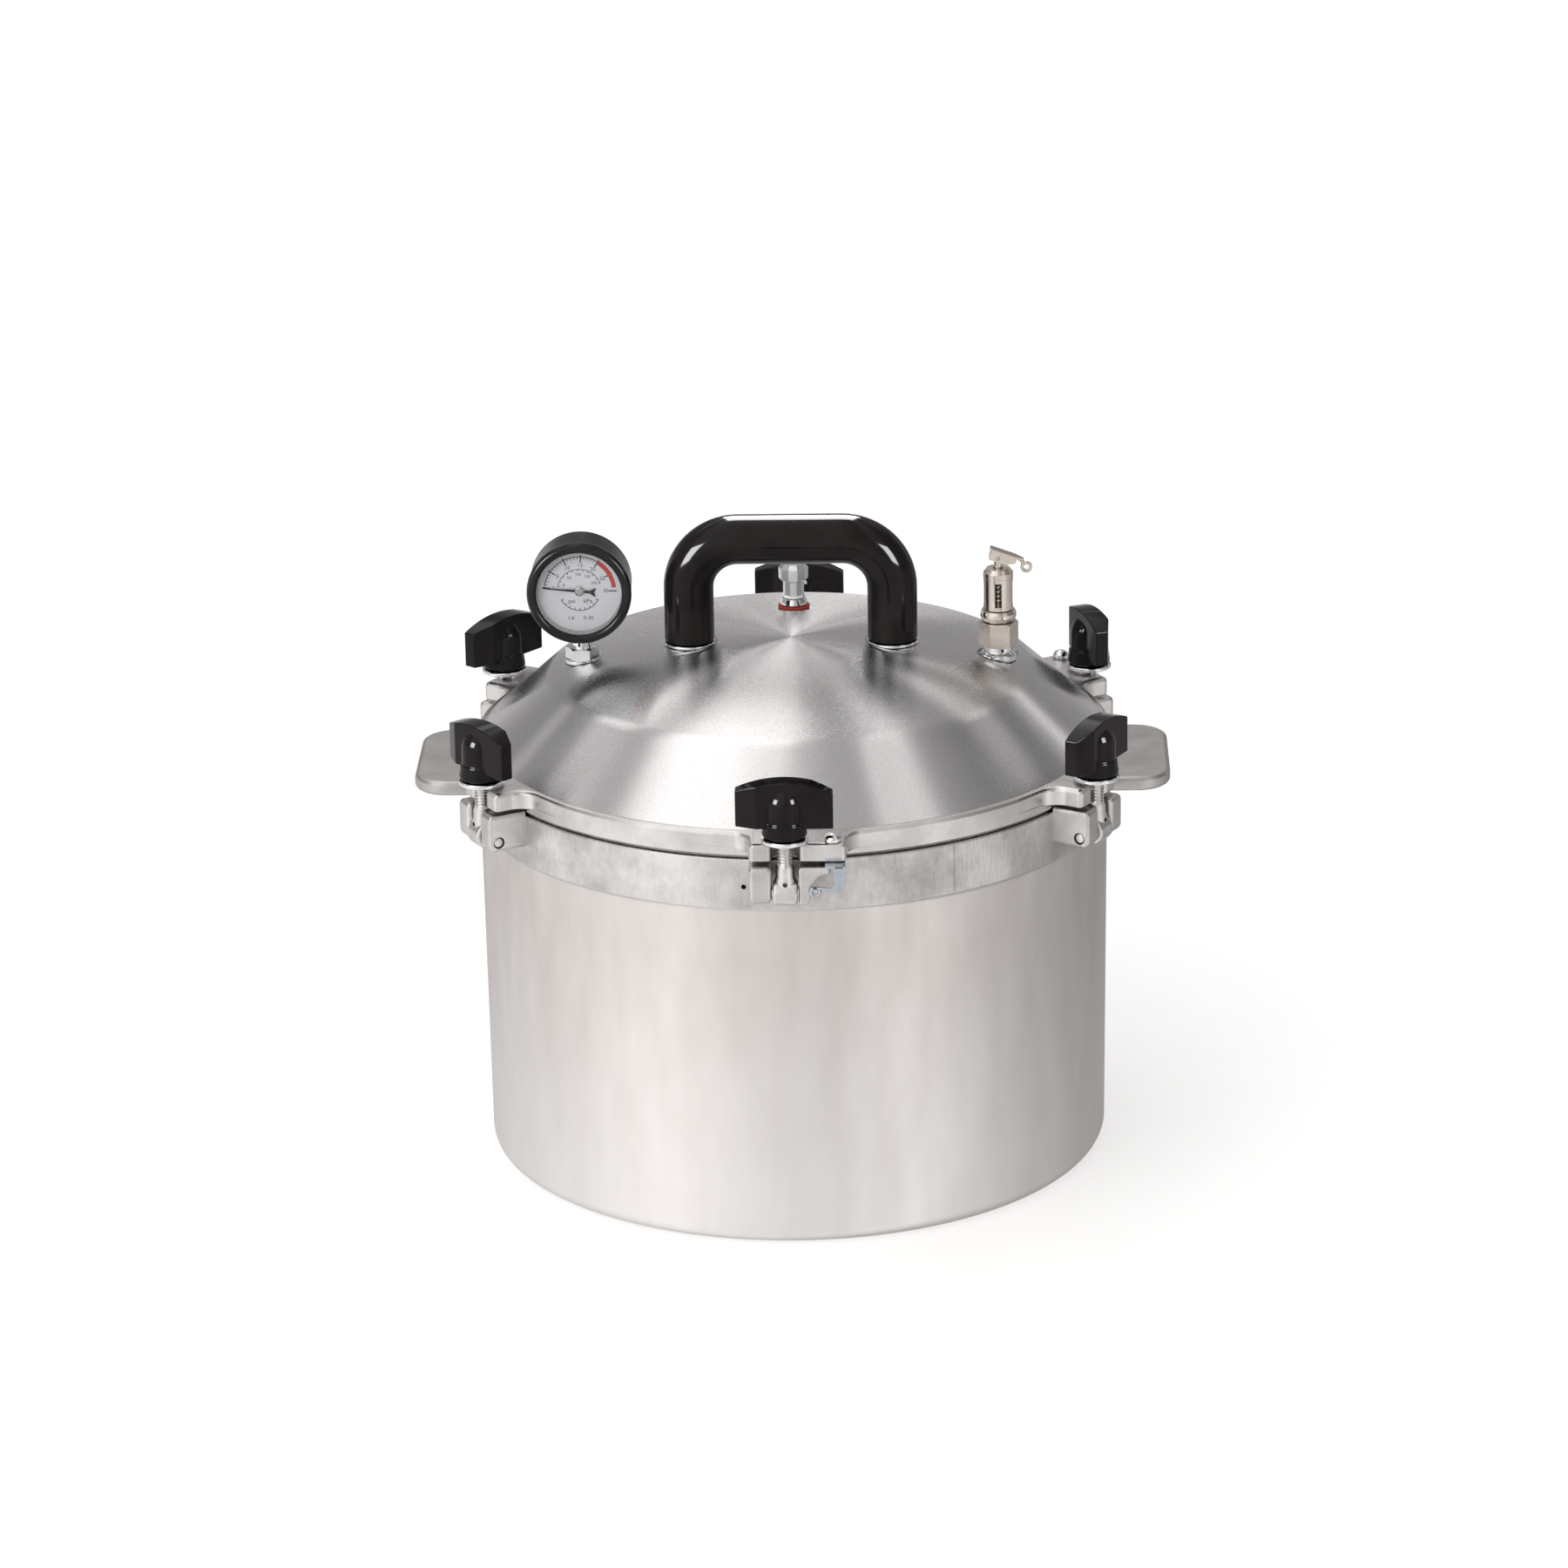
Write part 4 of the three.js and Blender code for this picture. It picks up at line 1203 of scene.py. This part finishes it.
def make_gauge():
    make_gauge_case()
    make_dial()
    make_pointer()
    seat = FITTING_SEAT
    outline = [
        (0, 238, 0), (4.6, 238, 0.6), (4.7, seat, 0), (8.6, seat, 0.5), (8.6, seat + 2.2, 0.6)
    ]
    outline += [(6, seat + 3, 0.4), (5, seat + 8, 0.4), (5, 270, 0.4), (0, 270, 0)]
    nut = moved(hex_bar(14.6, seat + 2, seat + 8.4), GAUGE.x)
    parts = merged([spindle(outline, MEDIUM, (GAUGE.x, 0, 0)), nut])
    piece("gauge_socket", parts, chrome, "lid", "chrome", ["gauge_stem"])


# ---- Valve ----

COLLAR_LOW = 272.3
CAGE_LOW = 278.3
CAGE_HIGH = 295.4
CAGE = 7.4
CAP_LOW = 294.6
COIL = 3.7
COIL_TURNS = 5
COIL_LOW = 281.6
COIL_LENGTH = 11.8
COIL_POINTS = 120
LEVER_SLOPE = 20


def nickel_piece(name, bm, node, body="lid"):
    piece(name, bm, nickel, body, "nickel", [node])


def make_valve_body(at):
    seat, x = FITTING_SEAT, at[0]
    outline = [(0, 238, 0), (4.7, 238, 0.6), (4.7, seat, 0), (9.4, seat, 0.4), (9.5, 254.6, 0.7)]
    outline += [(7.2, 256.4, 0.8), (7.2, 259, 0.4), (0, 259, 0)]
    facets = moved(spun(hex_bar(17.2, seat + 0.2, 255.6, 0.7), 12), x)
    base = merged([spindle(outline, MEDIUM, at), facets])
    piece("valve_base", base, chrome, "lid", "chrome", ["valve_fitting"])
    nickel_piece("valve_hex", moved(spun(hex_bar(17.4, 259.3, 272, 0.9), 4), x), "valve_body")
    outline = [(3, COLLAR_LOW, 0.3), (8.0, COLLAR_LOW, 0.6), (8.6, 273.6, 0.5), (9, 274.6, 0.7)]
    outline += [(9, 276.4, 0.7), (8.3, 278, 0.5), (3, 278, 0.3)]
    nickel_piece("valve_flange", ring(outline, MEDIUM, at), "valve_collar")
    low, high = CAGE_LOW, CAGE_HIGH
    tube = ring(
        [(5.7, low, 0.2), (CAGE, low, 0.3), (CAGE, high, 0.3), (5.7, high, 0.2)], MEDIUM, at
    )
    opening = rounded([(4, -1.7, 0.2), (9, -1.7, 0.2), (9, 1.7, 0.2), (4, 1.7, 0.2)])
    slots = [moved(spun(prism(opening, 280.5, 293.0), 90 * k), x) for k in range(4)]
    nickel_piece("valve_cage", combine([tube], slots), "valve_barrel")
    outline = [(2.5, CAP_LOW, 0.2), (7.5, CAP_LOW, 0.4), (7.5, 297.6, 0.8), (6.4, 298.6, 0.5)]
    outline += [(6, 299.5, 0.4), (2.5, 299.5, 0.2)]
    nickel_piece("valve_cap", ring(outline, MEDIUM, at), "valve_barrel")


def make_valve_spring(x):
    circle = on_circle(
        (x, 0), COIL, [360 * COIL_TURNS * k / COIL_POINTS for k in range(COIL_POINTS + 1)]
    )
    levels = spread(COIL_LOW, COIL_LOW + COIL_LENGTH, COIL_POINTS)
    coil = sweep([(u, v, z) for (u, v), z in zip(circle, levels)], 0.5, 10, 0.2)
    spring = piece("valve_coil", coil, steel, "lid", "nickel", ["valve_spring"])
    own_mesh(spring)


def make_valve_stem(at, pivot):
    x, tip = at[0], pivot + 1.8
    outline = [(0, 266, 0), (2.3, 266, 0.4), (2.4, 279, 0), (4.6, 279, 0.2), (4.6, 280.4, 0.2)]
    outline += [(2, 280.4, 0.2), (2, pivot + 0.9, 0.5), (1.1, tip, 0.4), (0, tip, 0)]
    flats = [
        prism([(x - 4, s * 1.6), (x + 4, s * 1.6), (x + 4, s * 4), (x - 4, s * 4)], 302, 311)
        for s in (-1, 1)
    ]
    pin_hole = moved(lying_rod(1.0, 4, 20), x, 0, pivot)
    stem = combine([spindle(outline, SMALL, at)], flats + [pin_hole])
    nickel_piece("valve_spindle", stem, "valve_stem", "valve_stem")
    pin = moved(lying_rod(0.8, 3.9, 20, 0.3), x, 0, pivot)
    piece("valve_pin", pin, steel, "valve_stem", "nickel", ["valve_lever_pin"])


def make_valve_lever(x, pivot):
    """Two cheeks on the pin, a plate across them and a ring at the far end."""
    cheek = [(-4.5, -1.9, 0.6), (4.6, -1.9, 1.5), (9, 0.6, 0.8), (9, 3.0, 0.4), (-4.5, 3.0, 0.4)]
    cheeks = [upright(rounded(cheek), 0.6, 0.15, s * 2.7) for s in (-1, 1)]
    plate = [
        (-5.4, -3.3, 0.8), (7, -3.3, 2), (12.4, -1.3, 1), (12.4, 1.3, 1), (7, 3.3, 2),
        (-5.4, 3.3, 0.8),
    ]
    bridge = prism(rounded(plate), 2.6, 3.8, 0.35)
    eye = sweep(arc_path(15, 0, 2.15, 0, 345, 24), 0.85, 14, closed=True)
    tail = sweep([(9.5, 0, 3.1), (11.6, 0, 2.4), (13.2, 0, 1.0)], 1.0, 14, 0.3)
    lever = merged([combine(cheeks, [lying_rod(0.95, 5, 20)]), bridge, eye, tail])
    lever = moved(spun(lever, LEVER_SLOPE, "Y"), x, 0, pivot)
    nickel_piece("valve_trigger", lever, "valve_lever", "valve_lever")


def make_valve():
    at = (VALVE_X, 0, 0)
    pivot = centre("valve_lever_pin").z
    make_valve_body(at)
    make_valve_spring(VALVE_X)
    make_valve_stem(at, pivot)
    make_valve_lever(VALVE_X, pivot)


# ---- Safety plug ----

PLUG_SEAT = 260.3


def make_plug():
    at = (0, PLUG_Y, 0)
    low, high = PLUG_SEAT, PLUG_SEAT + 2
    gasket = ring(
        [(6.3, low, 0.3), (8.2, low, 0.8), (8.0, high, 0.8), (6.3, high, 0.3)], MEDIUM, at
    )
    piece("plug_seal", gasket, rubber, "lid", "red_rubber", ["plug_gasket"])
    low = PLUG_SEAT + 2.3
    outline = [(3.4, 248, 0.2), (5.9, 248, 0.3), (5.9, low, 0.1), (7.1, low, 0.4)]
    outline += [(6.8, low + 1.3, 0.5), (6, low + 3.4, 0.3), (3.4, low + 3.4, 0.2)]
    piece("plug_base", ring(outline, MEDIUM, at), chrome, "lid", "chrome", ["plug_fitting"])
    low = PLUG_SEAT + 6.2
    cap = [(0, 252), (3, 252), (3, low), (5.7, low), (5.3, low + 2), (5.3, low + 8)]
    cap += [(7.5, low + 9.8), (7.6, low + 15.5), (5.5, low + 17.8), (0, low + 17.9)]
    piece("plug_head", lathe(cap, 10, at), chrome, "plug_cap", "chrome", ["plug_cap"], smooth=20)


# ---- Jar rack ----

RACK_LOW = 19.0
RACK_TOP = 21.0
RACK_EDGE = 146.0
RACK_HOLE = 7.0
RACK_RINGS = ((6, 40), (10, 84), (15, 124))  # holes in a ring, and its radius


def make_rack():
    low, top = RACK_LOW, RACK_TOP
    sheet = spindle([(0, low, 0), (RACK_EDGE, low, 0.6), (RACK_EDGE, top, 0.8), (0, top, 0)], ROUND)
    holes = [
        spun(moved(rod(RACK_HOLE, low - 2, top + 2, 28), radius), 360 * k / count)
        for count, radius in RACK_RINGS
        for k in range(count)
    ]
    finish = (rack_metal, "jar_rack", "rack_aluminium", ["jar_rack"])
    piece("rack_plate", combine([sheet], [merged(holes)]), *finish)
    foot = ring([(138, 6.3, 0.4), (140, 6.3, 0.4), (140, low + 0.4, 0), (138, low + 0.4, 0)], ROUND)
    piece("rack_foot", foot, *finish)


# ---- Kept CAD nodes ----


def finish_kept_nodes():
    """Hidden fasteners keep their CAD shape and get a real finish."""
    kept = {
        "gauge_nut": brass, "valve_nut": brass, "plug_nut": brass, "gauge_bourdon_tube": brass,
        "handle_screw_left": steel, "handle_screw_right": steel,
    }
    for name, material in kept.items():
        mesh = frame["nodes"][name].data
        mesh.materials.clear()
        mesh.materials.append(material)


# ---- Stage ----

# Brightness of the studio at the horizon and below, by compass direction: 0 faces the front, and
# + is to the right.
LOW_STUDIO = [
    (-180, 0.56), (-150, 0.72), (-101, 0.93), (-74, 1.09), (-51, 1.25), (-31, 1.04), (-8, 0.85),
    (8, 0.83), (28, 0.93), (48, 1.10), (70, 0.72), (96, 0.56), (117, 0.45), (139, 0.34),
    (153, 0.38), (180, 0.56),
]
# Brightness of the overhead studio: strips of light fan out from a point behind the object. The
# angle is measured round that point, 0 towards the front and + to the right. The strips near the
# point show in the dome and those away from it in the cone below the dome.
FAN_CENTRE = (0.0, 0.943)
DOME_FAN = [
    (-180, 0.34), (-100, 0.36), (-62, 0.24), (-55, 0.36), (-52, 1.50), (-43, 1.40), (-40, 0.44),
    (-33, 0.44), (-30, 1.65), (-2, 1.60), (1, 0.70), (6, 0.40), (12, 0.44), (16.5, 0.50),
    (17.5, 1.20), (26, 1.00), (29, 0.40), (44, 0.24), (47, 0.90), (53, 0.90), (56, 0.22),
    (66, 0.22), (68, 1.00), (70, 0.90), (72, 0.26), (100, 0.30), (180, 0.32),
]
CONE_FAN = [
    (-180, 0.30), (-100, 0.34), (-68, 0.30), (-66, 1.20), (-64, 1.20), (-62, 0.32), (-52, 0.34),
    (-40, 0.42), (-35, 0.55), (-31, 1.20), (-24, 1.45), (-12, 1.40), (-9, 1.15), (-3, 1.10),
    (1, 0.70), (8, 0.46), (15.5, 0.42), (17, 1.00), (18.5, 0.75), (26, 0.90), (30, 0.36),
    (40, 0.22), (54, 0.17), (62, 0.20), (64.5, 1.00), (67, 1.00), (69, 0.24), (100, 0.30),
    (180, 0.30),
]
FAN_SPLIT = (0.60, 1.05)  # how far from the point the dome's strips give way to the cone's
# Windows that light some pieces only: direction, height above the horizon, width, height,
# brightness and what they light.
WINDOWS = [
    (180, 48, 0.50, 0.80, 34.0, "handle"), (-50, 20, 0.46, 0.46, 60.0, "black"),
    (50, 20, 0.38, 0.46, 54.0, "black"), (-25, 35, 0.60, 0.60, 4.0, "dial"),
]
WINDOW_DISTANCE = 1.2  # in metres, like the next one
WINDOW_AIM = 0.25  # height of the point that the windows face
BACKDROP = 1.0
STUDIO_TINT = (1.0, 0.985, 0.975, 1)
HORIZON = (-0.02, 0.12)  # where the low studio gives way to the overhead one
FLOOR_SIZE = 6.0  # half the floor's width in metres


def studio_light():
    """A studio seen only by light and reflections; the camera sees a plain backdrop."""
    world = bpy.data.worlds.new("studio")
    world.use_nodes = True
    world.node_tree.nodes.clear()
    n = Nodes(world.node_tree)

    def step(value, start, end):
        node = n.add("MapRange", interpolation_type="SMOOTHSTEP")
        node.inputs["From Min"].default_value = start
        node.inputs["From Max"].default_value = end
        n.link(value, node.inputs["Value"])
        return node.outputs[0]

    def by_angle(angle, levels):
        """The brightness listed for an angle; a colour ramp holds up to twice full scale."""
        ramp = n.add("ValToRGB")
        n.link(n.math("DIVIDE", n.math("ADD", angle, 180.0), 360.0), ramp.inputs[0])
        elements = ramp.color_ramp.elements
        while len(elements) < len(levels):
            elements.new(0.5)
        for element, (place, value) in zip(elements, levels):
            element.position = (place + 180) / 360
            element.color = (value / 2, value / 2, value / 2, 1)
        return n.math("MULTIPLY", ramp.outputs[0], 2.0)

    def blend(first, second, share):
        near = n.math("MULTIPLY", first, n.math("SUBTRACT", 1.0, share))
        return n.math("ADD", near, n.math("MULTIPLY", second, share))

    split = n.add("SeparateXYZ")
    n.link(n.add("TexCoord").outputs["Generated"], split.inputs[0])
    x, y, z = split.outputs
    compass = n.math("ARCTAN2", x, n.math("MULTIPLY", y, -1.0))
    low = by_angle(n.math("MULTIPLY", compass, 180 / math.pi), LOW_STUDIO)
    across = n.math("SUBTRACT", x, FAN_CENTRE[0])
    ahead = n.math("SUBTRACT", FAN_CENTRE[1], y)
    fan_angle = n.math("MULTIPLY", n.math("ARCTAN2", across, ahead), 180 / math.pi)
    square = n.math("ADD", n.math("MULTIPLY", across, across), n.math("MULTIPLY", ahead, ahead))
    outer = step(n.math("SQRT", square), *FAN_SPLIT)
    high = blend(by_angle(fan_angle, DOME_FAN), by_angle(fan_angle, CONE_FAN), outer)
    light = n.add("Background")
    n.link(blend(low, high, step(z, *HORIZON)), light.inputs["Strength"])
    light.inputs["Color"].default_value = STUDIO_TINT
    plain = n.add("Background")
    plain.inputs["Color"].default_value = (BACKDROP, BACKDROP, BACKDROP, 1)
    choose = n.add("MixShader")
    n.link(n.add("LightPath").outputs["Is Camera Ray"], choose.inputs[0])
    n.link(light.outputs[0], choose.inputs[1])
    n.link(plain.outputs[0], choose.inputs[2])
    n.link(choose.outputs[0], n.add("OutputWorld").inputs[0])
    bpy.context.scene.world = world


def window_lights():
    """Area lights linked to the black mouldings, whose highlights they shape, or to the dial."""
    lit = {
        "black": ("nut_", "handle_bar", "gauge_shell", "gauge_ring"), "handle": ("handle_bar",),
        "dial": ("dial_", "pointer_"),
    }
    groups = {}
    for group, starts in lit.items():
        groups[group] = bpy.data.collections.new(group + "_pieces")
        for item in bpy.context.scene.objects:
            if item.type == "MESH" and item.name.startswith(starts):
                groups[group].objects.link(item)
    for k, (compass, height, width, tall, level, target) in enumerate(WINDOWS):
        lamp = bpy.data.lights.new(f"window_{k + 1}", "AREA")
        lamp.shape = "RECTANGLE"
        lamp.size = width
        lamp.size_y = tall
        lamp.energy = level * math.pi * width * tall
        holder = bpy.data.objects.new(f"window_{k + 1}", lamp)
        turn, lift = math.radians(compass), math.radians(height)
        aim = Vector(
            (math.sin(turn) * math.cos(lift), -math.cos(turn) * math.cos(lift), math.sin(lift))
        )
        holder.location = aim * WINDOW_DISTANCE + Vector((0, 0, WINDOW_AIM))
        holder.rotation_euler = aim.to_track_quat("Z", "Y").to_euler()
        bpy.context.scene.collection.objects.link(holder)
        holder.light_linking.receiver_collection = groups[target]
        holder.light_linking.blocker_collection = groups["black"]


def make_floor():
    size = FLOOR_SIZE
    corners = [(-size, -size, 0), (size, -size, 0), (size, size, 0), (-size, size, 0)]
    bm = build(corners, [[0, 1, 2, 3]])
    mesh = bpy.data.meshes.new("floor")
    bm.to_mesh(mesh)
    bm.free()
    n = Surface("floor_paper")
    grain = n.noise(n.place(), 40, 2)
    n.colour(n.mix(n.range(grain, 0, 1), (0.86, 0.86, 0.86), (0.84, 0.84, 0.84)))
    n.set(Roughness=0.9, Specular_IOR_Level=0.1, Emission_Strength=0.44)
    n.set(Emission_Color=(1, 1, 1, 1))
    mesh.materials.append(n.material)
    floor = bpy.data.objects.new("floor", mesh)
    bpy.context.scene.collection.objects.link(floor)
    floor.visible_glossy = False


make_pot()
make_clamps()
make_lid()
make_handle()
make_guides()
make_gauge()
make_valve()
make_plug()
make_rack()
finish_kept_nodes()
make_floor()
studio_light()
window_lights()

bpy.context.scene.view_settings.view_transform = "Standard"
